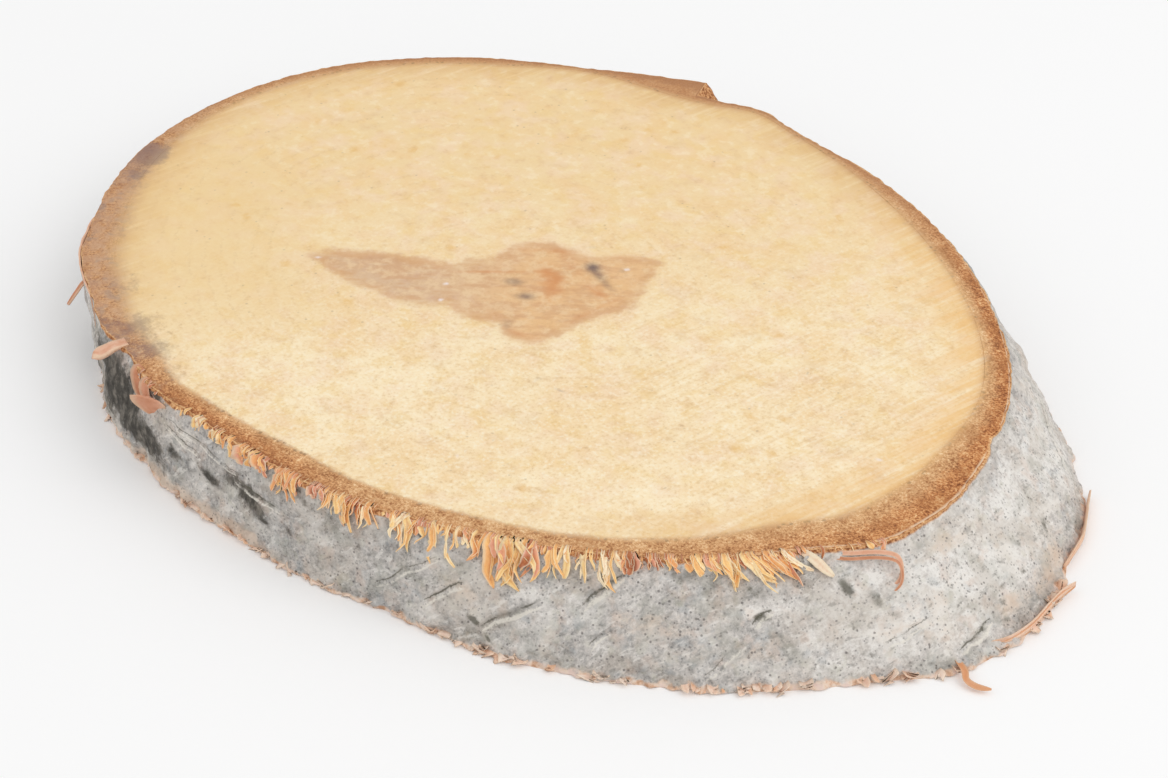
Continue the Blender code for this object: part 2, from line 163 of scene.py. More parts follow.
# Long cracks in the bark: angle and depth share at each end, strength
FURROWS = [
    (-57.0, 0.75, -47.5, 0.45, 1.0), (-42.5, 0.42, -36.0, 0.14, 1.0), (-44.0, 0.74, -40.5, 0.58, 0.5),
    (-71.5, 0.72, -58.5, 0.25, 0.5), (-64.0, 0.70, -56.5, 0.43, 0.7), (-25.8, 0.50, -22.8, 0.39, 0.9),
    (-8.5, 0.86, -3.4, 0.76, 0.8), (-14.6, 0.72, -9.4, 0.56, 0.4),
    (-93.0, 0.38, -84.0, 0.42, 0.7), (-105.0, 0.17, -90.5, 0.32, 0.5), (-105.5, 0.24, -99.5, 0.38, 0.6),
    (-33.0, 0.88, -27.0, 0.62, 0.3), (20.0, 0.70, 29.0, 0.42, 0.5), (48.0, 0.60, 60.0, 0.55, 0.6),
    (78.0, 0.40, 88.0, 0.48, 0.6), (104.0, 0.72, 112.0, 0.80, 0.7), (136.0, 0.30, 148.0, 0.44, 0.6),
    (160.0, 0.62, 172.0, 0.74, 0.7), (-170.0, 0.35, -158.0, 0.50, 0.5), (66.0, 0.80, 76.0, 0.84, 0.4),
]
# Soft patches on the bark wall: angle, depth share, half width in degrees, half height share, strength
CHARCOAL = [
    (-141.0, 0.78, 6.0, 0.14, 1.2), (-121.0, 0.38, 7.0, 0.26, 1.4), (-119.5, 0.66, 6.5, 0.18, 0.7),
    (-113.5, 0.66, 4.5, 0.14, 0.9), (-110.5, 0.55, 2.5, 0.09, 0.6), (-105.0, 0.48, 1.2, 0.06, 0.9),
    (-99.0, 0.53, 1.6, 0.07, 1.1), (-91.8, 0.42, 3.4, 0.13, 0.9), (-89.5, 0.50, 1.6, 0.08, 0.6),
    (-89.0, 0.62, 1.1, 0.05, 0.9), (-84.0, 0.60, 0.7, 0.05, 0.7), (-80.0, 0.14, 3.0, 0.09, 0.6),
    (-73.5, 0.35, 4.5, 0.18, 0.3), (-128.0, 0.80, 4.0, 0.12, 0.5), (-160.0, 0.45, 9.0, 0.22, 0.7),
    (168.0, 0.62, 9.0, 0.2, 0.6), (146.0, 0.34, 6.0, 0.16, 0.5), (72.0, 0.6, 8.0, 0.2, 0.35),
]
# Dark spots of the bark, and one painted shade: the entry at -106.5 degrees darkens the hole between the pocket
# flap and its folds
DARK_SPOTS_AND_SHADE = [
    (-24.4, 0.45, 0.9, 0.030, 1.2), (-15.2, 0.29, 0.6, 0.080, 1.0),
    (-13.2, 0.37, 0.8, 0.080, 0.6), (-12.2, 0.50, 0.8, 0.060, 0.5), (-57.4, 0.72, 0.8, 0.050, 1.1),
    (-56.4, 0.84, 0.5, 0.040, 0.8), (-50.2, 0.30, 0.8, 0.030, 0.8), (-49.4, 0.37, 0.4, 0.030, 0.7),
    (-0.5, 0.62, 0.7, 0.030, 0.7), (3.0, 0.65, 0.7, 0.040, 0.6), (4.5, 0.53, 0.8, 0.040, 0.6),
    (10.5, 0.65, 1.2, 0.060, 0.7), (-1.5, 0.71, 0.9, 0.040, 0.6), (-2.0, 0.83, 0.7, 0.040, 0.6),
    (-30.0, 0.14, 2.2, 0.090, 0.6), (-23.5, 0.26, 2.2, 0.080, 0.6), (-38.0, 0.12, 1.6, 0.060, 0.5),
    (-66.5, 0.32, 1.0, 0.050, 0.4), (-106.5, 0.05, 1.4, 0.060, 1.3), (40.0, 0.50, 1.4, 0.06, 0.6),
    (86.0, 0.66, 1.6, 0.07, 0.7), (126.0, 0.55, 1.5, 0.06, 0.7), (158.0, 0.3, 1.6, 0.07, 0.7),
    (-176.0, 0.7, 1.8, 0.08, 0.7),
]
# Pale patches: partly the bark's own paler grey, partly painted light; the broad ones at about -8, 0 and 24
# degrees brighten the side of the wall that faces the key light
PALE_AND_LIT_PATCHES = [
    (-101.0, 0.26, 3.6, 0.12, 1.0), (0.0, 0.35, 22.0, 0.35, 1.4), (-52.0, 0.50, 12.0, 0.40, 0.4),
    (-16.0, 0.62, 3.5, 0.10, 0.8), (-24.5, 0.40, 3.0, 0.05, 0.9), (-95.5, 0.70, 4.0, 0.10, 0.5),
    (-48.0, 0.40, 4.0, 0.06, 0.6),
    (24.0, 0.50, 18.0, 0.40, 0.9), (-22.0, 0.85, 9.0, 0.12, 0.6), (-75.0, 0.58, 4.0, 0.10, 0.5),
    (-8.0, 0.60, 12.0, 0.30, 0.5),
]
BLUSHED_PATCHES = [
    (-4.0, 0.18, 3.0, 0.10, 0.6), (8.0, 0.82, 5.0, 0.14, 0.9), (-0.5, 0.76, 3.0, 0.08, 0.7),
    (-12.5, 0.66, 3.5, 0.10, 0.5), (-106.0, 0.92, 9.0, 0.12, 1.0), (-95.0, 0.90, 6.0, 0.10, 0.8),
    (-36.0, 0.50, 5.0, 0.16, 0.5), (-57.5, 0.50, 3.0, 0.12, 0.6), (-8.0, 0.45, 4.0, 0.16, 0.4),
    (-118.0, 0.95, 6.0, 0.08, 0.8), (-28.0, 0.70, 8.0, 0.16, 0.35), (150.0, 0.8, 14.0, 0.14, 0.5),
]

# Smudges that spread from the bark into the wood: angle, half width (degrees), reach (millimetres), strength
SMUDGES = [
    (-165.5, 2.4, 1.3, 1.5), (-160.0, 4.0, 0.8, 0.8), (-149.0, 6.0, 1.8, 0.5), (-133.0, 3.5, 2.6, 0.6),
    (-122.0, 4.0, 3.4, 0.9), (-115.5, 3.0, 2.6, 0.8), (-108.0, 5.0, 1.4, 0.5), (60.0, 4.0, 1.2, 0.3),
    (92.0, 6.0, 1.0, 0.3),
]

# Stained heart, in millimetres from the middle of the face
HEART_OUTLINE = [
    (-20.0, -13.7), (-17.2, -11.2), (-13.2, -7.9), (-10.2, -6.3), (-8.0, -5.5), (-7.0, -3.4), (-5.7, -0.1),
    (-5.5, 2.6), (-3.9, 4.8), (-1.5, 5.5), (1.6, 6.2), (4.0, 9.2), (6.7, 10.2), (8.0, 9.8), (8.9, 7.5),
    (10.3, 4.3), (11.0, 1.2), (9.7, -2.7), (9.2, -6.6), (9.0, -8.6), (6.7, -9.9), (3.9, -8.9), (1.5, -10.3),
    (-2.4, -10.6), (-4.6, -12.3), (-7.7, -13.5), (-11.9, -14.1), (-15.4, -14.5), (-19.3, -14.4),
]
PITH = (0.6, -2.4)
# Dots and dashes in the heart: x, y, half length, half width (millimetres), turn in degrees, strength
HEART_DARKS = [
    (-1.0, -2.8, 1.3, 0.9, 30, 0.7), (2.1, -3.8, 1.4, 0.9, 40, 0.8), (3.0, 5.2, 1.1, 1.0, -25, 0.95),
    (4.9, 4.4, 1.4, 0.8, -20, 0.7), (7.2, 3.6, 1.4, 0.6, -15, 0.4), (4.5, -8.8, 1.3, 0.8, -60, 0.45),
    (5.9, 6.9, 0.6, 0.5, 0, 0.45), (-14.5, -9.8, 3.5, 0.8, 38, 0.22), (0.4, 8.2, 1.2, 0.6, 40, 0.25),
]
HEART_WARMS = [
    (-0.4, 1.2, 1.8, 1.2, -20, 0.45), (1.4, 0.7, 1.8, 1.5, -30, 0.55), (2.7, -0.5, 1.7, 1.5, -60, 0.5),
    (3.9, -2.2, 1.9, 1.1, -78, 0.4), (6.6, 2.2, 2.2, 0.8, -15, 0.7), (-4.2, -3.3, 4.6, 0.35, 45, 0.6),
    (-2.8, 4.0, 4.0, 0.6, 40, 0.45), (1.0, 4.0, 3.2, 0.7, -20, 0.4), (9.0, -1.0, 4.5, 0.5, 85, 0.4),
    (6.8, -9.2, 3.0, 0.6, 15, 0.4), (3.4, 8.4, 2.6, 0.5, 55, 0.3),
]
WHITE_DOTS = [
    (-5.7, -8.1, 0.35), (-3.8, -10.6, 0.35), (-19.4, -14.3, 0.3), (6.0, 7.4, 0.35), (1.2, -27.7, 0.3),
    (17.5, -28.2, 0.22), (47.2, 0.0, 0.35),
]
FACE_DARKS = [
    (16.8, -13.5, 0.9, 0.25, 10, 0.6), (13.8, -13.6, 0.5, 0.25, 30, 0.5), (8.3, -23.0, 0.8, 0.2, 0, 0.5),
]

# Growth rings from the pith to the bark
GROWTH_RINGS = 26
# Stretches of the rim whose sawn bark looks different: middle angle, half width in degrees
RING_STRETCHES = {
    "left_ring": (-146.0, 30.0), "dark_ring": (-92.0, 20.0), "front_ring": (-76.0, 54.0),
    "right_ring": (18.0, 42.0), "back_ring": (120.0, 60.0),
}
# Stretch where the brown of the sawn bark is narrower, and by how many millimetres
THIN_RING = (160.0, 24.0)
THIN_RING_SHIFT = 0.8
# Stretch of the upper rim that is frayed: middle angle, half width in degrees
FRAYED_RIM = (-72.0, 66.0)
# Broken end of the plate at the back, torn through its whole height
BROKEN_END = (108.5, 2.4)
BROKEN_HEIGHT = 20.0


def away_from(angles, middle):
    """Degrees from a middle angle the short way round, -180 to 180."""
    return (angles - middle + 180.0) % 360.0 - 180.0


def swell_sum(angles, swells):
    total = np.zeros_like(angles)
    for middle, half_width, height in swells:
        total = total + height * MM * np.exp(-(away_from(angles, middle) / half_width) ** 2)
    return total


def plate_height(angles):
    left = (PLATE_END_ANGLE - angles) / (PLATE_END_ANGLE - PLATE_STEP_ANGLE)
    inside = (angles >= PLATE_STEP_ANGLE) & (angles <= PLATE_END_ANGLE)
    return np.where(inside, PLATE_HEIGHT * np.clip(left, 0.0, 1.0) ** PLATE_HOLLOWNESS, 0.0)


def plain_radius(angles):
    a = np.radians(angles)
    oval = 1.0 / np.hypot(np.cos(a) / (LENGTH / 2), np.sin(a) / (WIDTH / 2))
    return oval + swell_sum(angles, UPPER_SWELLS)


def upper_radius(angles):
    nick = NICK_DEPTH * np.exp(-((angles - NICK_ANGLE) / NICK_HALF_WIDTH) ** 2)
    return plain_radius(angles) + plate_height(angles) - nick


def lower_radius(angles):
    return upper_radius(angles) + LOWER_FLARE + swell_sum(angles, LOWER_SWELLS)


def bark_width(angles):
    return BARK_WIDTH + swell_sum(angles, BARK_SWELLS)


def within(angles, stretch):
    """1 at the middle of a stretch of the outline, fading to 0 past its half width."""
    middle, half_width = stretch
    return np.exp(-(away_from(angles, middle) / half_width) ** 4)


def upper_wood_radius(angles):
    return plain_radius(angles) - bark_width(angles)


def lower_wood_radius(angles):
    return lower_radius(angles) - plate_height(angles) - bark_width(angles)


def face_middle():
    """Middle of the upper oval, read from the solid: its flat wood face against the same outline here."""
    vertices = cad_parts[NODE].data.vertices
    top = [vertex.co for vertex in vertices if vertex.co.z > THICKNESS - LEVEL_LIMIT]
    angles = columns_of(WOOD_COLUMNS)
    outline = level_points(angles, upper_wood_radius(angles))
    x, y = (max(co[k] for co in top) - outline[:, k].max() for k in (0, 1))
    return Vector((x, y, 0.0))


def columns_of(count):
    return 360.0 * np.arange(count) / count - 180.0


def level_points(angles, radii, height=0.0):
    a = np.radians(angles)
    return np.stack([np.cos(a) * radii, np.sin(a) * radii, np.zeros_like(a) + height], axis=-1)


def outward_of(angles):
    a = np.radians(angles)
    normal = np.stack([np.cos(a) / LENGTH ** 2, np.sin(a) / WIDTH ** 2, np.zeros_like(a)], axis=-1)
    return normal / np.linalg.norm(normal, axis=-1, keepdims=True)


def noise_field(points, size, offset=0.0):
    """Smooth noise at each point, about -1 to 1."""
    shift = Vector((offset, -offset, 2 * offset))
    flat = points.reshape(-1, 3) / size
    values = [noise.noise(Vector(point) + shift) for point in flat]
    return np.array(values).reshape(points.shape[:-1])


def smooth_step(values, low, high):
    t = np.clip((values - low) / (high - low), 0.0, 1.0)
    return t * t * (3 - 2 * t)


def trunk_height(points):
    """Distance along the leaning branch axis, downwards from the upper face."""
    return points[..., 0] * math.sin(LEAN) + (THICKNESS - points[..., 2]) * math.cos(LEAN)


MIDDLE = face_middle()


def build_mesh(name, points, faces, values, materials):
    """A smooth mesh kept inside the box of the solid, with named values at its points."""
    placed = np.clip(np.array(points) + np.array(MIDDLE), *np.array(CAD_BOX))
    mesh = bpy.data.meshes.new(name)
    mesh.from_pydata(placed.tolist(), [], faces)
    for key, of_points in values.items():
        layer = mesh.attributes.new(key, "FLOAT", "POINT")
        layer.data.foreach_set("value", np.array(of_points, np.float32))
    for material in materials:
        mesh.materials.append(material)
    mesh.shade_smooth()
    return mesh


def add_object(name, data):
    added = bpy.data.objects.new(name, data)
    bpy.context.scene.collection.objects.link(added)
    return added


def place(name, mesh):
    piece = add_object(name, mesh)
    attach(piece, BODY)
    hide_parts(NODE)
    return piece


def grid_object(name, loops, attributes, materials, material_of_face=None, ring=False):
    """A mesh of closed loops of points. A ring joins the last loop to the first, other meshes get end caps."""
    rows, columns = loops.shape[:2]
    index = np.arange(rows * columns).reshape(rows, columns)
    upper = index if ring else index[:-1]
    lower = np.roll(index, -1, axis=0) if ring else index[1:]
    quads = np.stack([upper, lower, np.roll(lower, -1, axis=1), np.roll(upper, -1, axis=1)], axis=-1)
    faces = quads.reshape(-1, 4).tolist()
    points = loops.reshape(-1, 3)
    extra = {}
    if not ring:
        first, last = rows * columns, rows * columns + 1
        points = np.concatenate([points, loops[:1].mean(axis=1), loops[-1:].mean(axis=1)])
        for i in range(columns):
            j = (i + 1) % columns
            faces.append((first, index[0, i], index[0, j]))
            faces.append((last, index[-1, j], index[-1, i]))
        extra = {key: [values[0].mean(), values[-1].mean()] for key, values in attributes.items()}
    values = {key: np.append(grid.reshape(-1), extra.get(key, [])) for key, grid in attributes.items()}
    mesh = build_mesh(name, points, faces, values, materials)
    if material_of_face is not None:
        of_caps = np.zeros(len(faces) - len(material_of_face))
        mesh.polygons.foreach_set("material_index", np.append(material_of_face, of_caps).astype(np.int32))
    mesh.set_sharp_from_angle(angle=math.radians(SHARP_ANGLE))
    return place(name, mesh)


def smooth_path(points, steps, closed=False):
    """Points on a smooth curve through the given ones."""
    path = []
    count = len(points)
    spans = count if closed else count - 1
    for i in range(spans):
        if closed:
            before, start, end, after = (points[(i + k) % count] for k in (-1, 0, 1, 2))
        else:
            before, start = points[max(i - 1, 0)], points[i]
            end, after = points[i + 1], points[min(i + 2, count - 1)]
        for step in range(steps):
            t = step / steps
            path.append(0.5 * (2 * start + (end - before) * t
                               + (2 * before - 5 * start + 4 * end - after) * t * t
                               + (3 * start - before - 3 * end + after) * t ** 3))
    if not closed:
        path.append(points[-1])
    return path


def distance_in_outline(places, outline):
    """Distance in millimetres to a closed outline, negative inside it."""
    ends = np.roll(outline, -1, axis=0)
    nearest = np.full(len(places), 1e9)
    inside = np.zeros(len(places), bool)
    for start, end in zip(outline, ends):
        along = end - start
        share = np.clip(((places - start) @ along) / (along @ along), 0.0, 1.0)
        nearest = np.minimum(nearest, np.linalg.norm(places - start - share[:, None] * along, axis=1))
        crosses = (start[1] > places[:, 1]) != (end[1] > places[:, 1])
        if crosses.any():
            reach = start[0] + (places[:, 1] - start[1]) / (end[1] - start[1]) * along[0]
            inside ^= crosses & (places[:, 0] < reach)
    return np.where(inside, -nearest, nearest)


def marks_at(places, marks):
    """Sum of soft turned dashes: x, y, half length, half width, turn, strength."""
    total = np.zeros(places.shape[:-1])
    for x, y, half_length, half_width, turn, strength in marks:
        away = places - np.array((x, y))
        c, s = math.cos(math.radians(turn)), math.sin(math.radians(turn))
        along = (away[..., 0] * c + away[..., 1] * s) / half_length
        across = (away[..., 1] * c - away[..., 0] * s) / half_width
        total += strength * np.exp(-along ** 2 - across ** 2)
    return total


def growth_share(places, wood_radius):
    """0 at the pith to 1 at the bark, along the growth rings."""
    pith = np.array(PITH)
    share = np.full(places.shape[:-1], 0.5)
    for _ in range(6):
        away = places - pith * (1 - share[..., None])
        angles = np.degrees(np.arctan2(away[..., 1], away[..., 0]))
        share = np.clip(np.hypot(away[..., 0], away[..., 1]) / (wood_radius(angles) / MM), 0.0, 1.2)
    return share


def smudge_at(angles, inward):
    """Dark stain that spreads from the bark; inward is the distance from the bark in millimetres."""
    total = np.zeros_like(inward)
    for middle, half_width, reach, strength in SMUDGES:
        around = away_from(angles, middle) / half_width
        total += strength * np.exp(-around ** 2) * np.exp(-(np.maximum(inward, 0) / reach) ** 2)
    return total


def face_attributes(angles, points, middle, wood_radius):
    """What the sawn-face material needs at each point of a sawn face."""
    places = (points[..., :2] - np.array(middle)[:2]) / MM
    thinner = THIN_RING_SHIFT * within(angles, THIN_RING)
    from_bark = np.hypot(places[..., 0], places[..., 1]) - wood_radius(angles) / MM - thinner
    outline = np.array(smooth_path([np.array(p) for p in HEART_OUTLINE], 4, closed=True))
    heart = distance_in_outline(places.reshape(-1, 2), outline).reshape(from_bark.shape)
    dots = [(x, y, size, size, 0, 1.0) for x, y, size in WHITE_DOTS]
    tail = smooth_step(-(places[..., 0] + 0.6 * places[..., 1]), -2.0, 16.0)
    whole_bark = (bark_width(angles) + plate_height(angles)) / MM - thinner
    attributes = {
        "from_bark": from_bark,
        "heart": heart,
        "heart_tail": tail,
        "darks": marks_at(places, HEART_DARKS + FACE_DARKS),
        "warms": marks_at(places, HEART_WARMS),
        "whites": marks_at(places, dots),
        "growth": growth_share(places, wood_radius) * GROWTH_RINGS,
        "smudge": smudge_at(angles, -from_bark),
        # 0 at the back left to 1 at the front right: painted light that makes the sawn wood lighter and paler
        # towards the front right, and the strength of its fine grain and saw streaks
        "near_and_lit": smooth_step(places[..., 0] - places[..., 1], -45.0, 45.0),
        "ring_share": np.clip(from_bark / whole_bark, 0.0, 1.0),
    }
    for key, stretch in RING_STRETCHES.items():
        attributes[key] = within(angles, stretch)
    return {key: np.broadcast_to(values, from_bark.shape) for key, values in attributes.items()}


def make_wood(material):
    """The sawn wood inside the bark: both flat faces, and the side that the bark hides."""
    angles = columns_of(WOOD_COLUMNS)
    fine = np.linspace(0.0, HEART_RADIUS_SHARE, HEART_ROWS + 1)[1:]
    coarse = np.linspace(HEART_RADIUS_SHARE, 1.0, OUTER_ROWS + 1)[1:]
    shares = np.concatenate([fine, coarse])
    top = np.stack([level_points(angles, upper_wood_radius(angles) * share, THICKNESS) for share in shares])
    top[..., 2] -= WOOD_SWELL_HEIGHT * (0.5 + 0.5 * noise_field(top, WOOD_SWELL_LENGTH))
    shares_below = np.linspace(1.0, 1.0 / UNDERSIDE_ROWS, UNDERSIDE_ROWS)
    bottom = np.stack([level_points(angles, lower_wood_radius(angles) * share) for share in shares_below])
    bottom[..., 0] += LEAN_SHIFT
    loops = np.concatenate([top, bottom])
    above = face_attributes(angles, top, (0.0, 0.0), upper_wood_radius)
    below = face_attributes(angles, bottom, (LEAN_SHIFT, 0.0), lower_wood_radius)
    attributes = {key: np.concatenate([above[key], below[key]]) for key in above}
    return grid_object("sawn_wood", loops, attributes, [material])


def make_lenticels():
    """Raised dashes that run round the branch: angle, height on the branch, half length."""
    rng = random.Random(LENTICEL_SEED)
    lenticels = []
    for _ in range(LENTICEL_COUNT):
        angle = rng.uniform(-180.0, 180.0)
        on_wall = wall_places(np.array([angle]), rng.uniform(0.1, 0.9))[0]
        half_length = rng.uniform(*LENTICEL_HALF_LENGTH) * MM
        lenticels.append((angle, trunk_height(on_wall), half_length))
    return lenticels


def wall_places(angles, depth):
    """Points of the smooth wall; depth runs from 0 at the upper face to 1 at the lower face."""
    upper = level_points(angles, upper_radius(angles), THICKNESS)
    lower = level_points(angles, lower_radius(angles)) + np.array((LEAN_SHIFT, 0.0, 0.0))
    return upper * (1 - depth) + lower * depth


def lenticel_relief(angles, heights):
    total = np.zeros_like(heights)
    for middle, level, half_length in make_lenticels():
        around = np.radians(away_from(angles, middle)) * WIDTH / 2
        total += np.exp(-(around / half_length) ** 4 - ((heights - level) / LENTICEL_HALF_WIDTH) ** 2)
    return np.minimum(total, LENTICEL_MOST)


def patches_at(angles, depths, patches):
    total = np.zeros_like(angles + depths)
    for middle, depth, half_width, half_height, strength in patches:
        around = away_from(angles, middle) / half_width
        total += strength * np.exp(-around ** 2 - ((depths - depth) / half_height) ** 2)
    return total


def furrow_profiles(angles, depths, points):
    """Millimetres to the nearest long crack, positive below it, and how strong that crack is there."""
    off = np.full(points.shape[:-1], FAR_FROM_FURROW)
    strength = np.zeros(points.shape[:-1])
    weight = np.zeros(points.shape[:-1])
    wander = FURROW_WANDER * noise_field(points, FURROW_WANDER_LENGTH, 7.0)
    for first_angle, first_depth, last_angle, last_depth, full_strength in FURROWS:
        share = np.clip((angles - first_angle) / (last_angle - first_angle), 0.0, 1.0)
        beyond = np.abs(angles - (first_angle + (last_angle - first_angle) * share))
        line_depth = first_depth + (last_depth - first_depth) * share
        off_line = (depths - line_depth) * WALL_LENGTH / MM + wander
        fade = np.sqrt(np.clip(4.0 * share * (1 - share), 0.0, 1.0)) * np.exp(-(beyond / FURROW_END) ** 2)
        own_weight = fade * np.exp(-np.abs(off_line))
        nearer = own_weight > weight
        off = np.where(nearer, off_line, off)
        strength = np.where(nearer, full_strength * fade, strength)
        weight = np.maximum(weight, own_weight)
    return np.clip(off, -FAR_FROM_FURROW, FAR_FROM_FURROW), strength


def coarse_relief(angles, points):
    """The relief that the solid model has too."""
    heights = trunk_height(points)
    waves = WAVE_HEIGHT * noise_field(points, WAVE_LENGTH)
    wander = CREASE_WANDER * noise_field(points, 2 * WAVE_LENGTH)
    creases = CREASE_HEIGHT * np.sin(2 * math.pi * heights / CREASE_SPACING + wander)
    scaly = np.exp(-(away_from(angles, SCALY_ANGLE) / SCALY_HALF_WIDTH) ** 2)
    scales = SCALE_HEIGHT * scaly * noise_field(points, SCALE_SIZE)
    return waves + creases + scales + LENTICEL_HEIGHT * lenticel_relief(angles, heights)


def fine_relief(points):
    """Fine creases round the branch, and grit."""
    turns = 2 * math.pi * trunk_height(points) / FINE_CREASE_SPACING
    wander = FINE_CREASE_WANDER * noise_field(points, FINE_CREASE_WANDER_LENGTH, 3.0)
    broken = 0.5 + 0.5 * noise_field(points, FINE_CREASE_LENGTH, 4.0)
    creases = FINE_CREASE_HEIGHT * broken * np.sin(turns + wander)
    return creases + GRIT_HEIGHT * noise_field(points, GRIT_SIZE, 5.0)


def make_bark(face_material, bark_material):
    """The ring of bark: sawn edge, outer wall, lower edge and the hidden side against the wood."""
    angles = columns_of(BARK_COLUMNS)
    out = outward_of(angles)
    fray = RIM_FRAY_HEIGHT * noise_field(wall_places(angles, 0.0), RIM_FRAY_LENGTH, 2.0)

    ring_shares = np.linspace(0.0, 1.0, RING_ROWS)
    inner = level_points(angles, upper_wood_radius(angles) - BARK_OVERLAP, THICKNESS)
    outer = wall_places(angles, 0.0) - out * RIM_BEVEL + out * fray[:, None]
    ring = np.stack([inner * (1 - share) + outer * share for share in ring_shares])
    rough_share = smooth_step(ring_shares, 0.0, RING_ROUGH_FROM)[:, None]
    grain = RING_ROUGHNESS * (1.0 + noise_field(ring, RING_GRAIN)) * rough_share
    grain = grain * (1 - LEFT_RING_SMOOTHNESS * within(angles, RING_STRETCHES["left_ring"]))
    ring[..., 2] -= RING_DROP * ring_shares[:, None] + grain

    depths = np.linspace(*WALL_DEPTHS, WALL_ROWS)[:, None]
    smooth = np.stack([wall_places(angles, depth[0]) for depth in depths])
    torn = RAGGED_HEIGHT * noise_field(smooth, RAGGED_LENGTH) * smooth_step(depths, *RAGGED_DEPTHS)
    belly = WALL_BULGE * np.sin(math.pi * depths)
    off_furrow, furrow_strength = furrow_profiles(angles, depths, smooth)
    furrow = furrow_strength * np.exp(-(off_furrow / FURROW_HALF_WIDTH) ** 2)
    lip = furrow_strength * np.exp(-((off_furrow - LIP_OFFSET) / FURROW_HALF_WIDTH) ** 2)
    near_rim = fray * np.exp(-(depths / RIM_FRAY_DEPTH) ** 2)
    relief = coarse_relief(angles, smooth) + fine_relief(smooth) - FURROW_DEPTH * furrow + LIP_HEIGHT * lip
    wall = smooth + out * (belly + torn + near_rim + relief * smooth_step(depths, *RELIEF_DEPTHS))[..., None]

    foot_shares = np.linspace(0.0, 1.0, FOOT_ROWS)
    foot_outer = wall_places(angles, 1.0) - out * FOOT_BEVEL
    foot_inner = level_points(angles, lower_wood_radius(angles) - BARK_OVERLAP)
    foot_inner = foot_inner + np.array((LEAN_SHIFT, 0.0, FOOT_LIFT))
    foot = np.stack([foot_outer * (1 - share) + foot_inner * share for share in foot_shares])

    loops = np.concatenate([ring, wall, foot])
    above = face_attributes(angles, ring, (0.0, 0.0), upper_wood_radius)
    below = face_attributes(angles, foot, (LEAN_SHIFT, 0.0), lower_wood_radius)
    wall_rows = np.zeros(wall.shape[:-1])
    attributes = {key: np.concatenate([above[key], wall_rows, below[key]]) for key in above}
    for key, values in {
        "depth": depths + wall_rows,
        "off_furrow": off_furrow,
        "furrow_strength": furrow_strength,
        "frayed": within(angles, FRAYED_RIM) + BROKEN_HEIGHT * within(angles, BROKEN_END) + wall_rows,
        "lenticel": lenticel_relief(angles, trunk_height(smooth)),
        "charcoal": patches_at(angles, depths, CHARCOAL),
        "dark_spot_and_shade": patches_at(angles, depths, DARK_SPOTS_AND_SHADE),
        "pale": patches_at(angles, depths, PALE_AND_LIT_PATCHES),
        "blush": patches_at(angles, depths, BLUSHED_PATCHES),
    }.items():
        top_row = np.repeat(values[:1], RING_ROWS, axis=0)
        foot_row = np.repeat(values[-1:], FOOT_ROWS, axis=0)
        attributes[key] = np.concatenate([top_row, values, foot_row])
    material_of_row = np.zeros(len(loops))
    material_of_row[RING_ROWS:RING_ROWS + WALL_ROWS] = 1
    material_of_face = np.repeat(material_of_row, BARK_COLUMNS)
    materials = [face_material, bark_material]
    return grid_object("bark", loops, attributes, materials, material_of_face, ring=True)


# Torn pieces: middle line, width at each point, the way the piece faces, how far its sides cup, thickness,
# tone, and the angle in radians that it twists through from root to tip
Blade = namedtuple("Blade", "points widths facing cup thickness tone twist", defaults=(0.0,))
ACROSS = (-1.0, -0.55, 0.0, 0.55, 1.0)
EDGE_THINNING = 0.7


def blades_object(name, blades, material):
    """One mesh of thin closed blades, with each blade's tone and the place along and across it."""
    points, faces, tones, alongs, acrosses = [], [], [], [], []
    for blade in blades:
        start = len(points)
        sections = len(blade.points)
        for i, middle in enumerate(blade.points):
            share = i / (sections - 1)
            ahead = blade.points[min(i + 1, sections - 1)] - blade.points[max(i - 1, 0)]
            side = Quaternion(ahead, blade.twist * share) @ ahead.cross(blade.facing).normalized()
            face = side.cross(ahead).normalized()
            half = blade.widths[i] / 2
            for sign in (1, -1):
                for u in ACROSS[::sign]:
                    thick = blade.thickness / 2 * (1 - EDGE_THINNING * u * u)
                    lift = blade.cup * half * 2 * u * u
                    points.append(middle + side * half * u + face * (lift + sign * thick))
                    tones.append(blade.tone)
                    alongs.append(share)
                    acrosses.append(abs(u))
        around = 2 * len(ACROSS)
        for i in range(sections - 1):
            for k in range(around):
                a = start + i * around + k
                b = start + i * around + (k + 1) % around
                faces.append((a, b, b + around, a + around))
        faces.append([start + k for k in reversed(range(around))])
        faces.append([start + (sections - 1) * around + k for k in range(around)])
    values = {"tone": tones, "along": alongs, "across": acrosses}
    return place(name, build_mesh(name, points, faces, values, [material]))


def outward_vector(angle):
    return Vector(outward_of(np.array(float(angle))))


def at_angle(angle):
    """Local directions on the rim: outward, along the rim with rising angle, down the leaning wall."""
    out = outward_vector(angle)
    along = Vector((-out.y, out.x, 0.0))
    lean = (LEAN_SHIFT / THICKNESS) * out.x * out
    return out, along, lean - UP


def upper_point(angle, drop=0.0):
    radius = float(upper_radius(np.array(angle)))
    return Vector(level_points(np.array(angle), radius, THICKNESS)) - UP * drop


def lower_point(angle, inset=0.0, rise=0.0):
    radius = float(lower_radius(np.array(angle)))
    rim = Vector(level_points(np.array(angle), radius)) + Vector((LEAN_SHIFT, 0.0, rise))
    return rim - outward_vector(angle) * inset


def from_rim(angle, out=0.0, along=0.0, drop=0.0):
    """A point given in millimetres outward from the upper rim, along it and down."""
    outward, sideways, _ = at_angle(angle)
    return upper_point(angle) + (outward * out + sideways * along - UP * drop) * MM


def shaped(width, shares, count):
    """Widths at evenly spaced points, from a shorter list of shares."""
    return list(width * np.interp(np.linspace(0, 1, count), np.linspace(0, 1, len(shares)), shares))


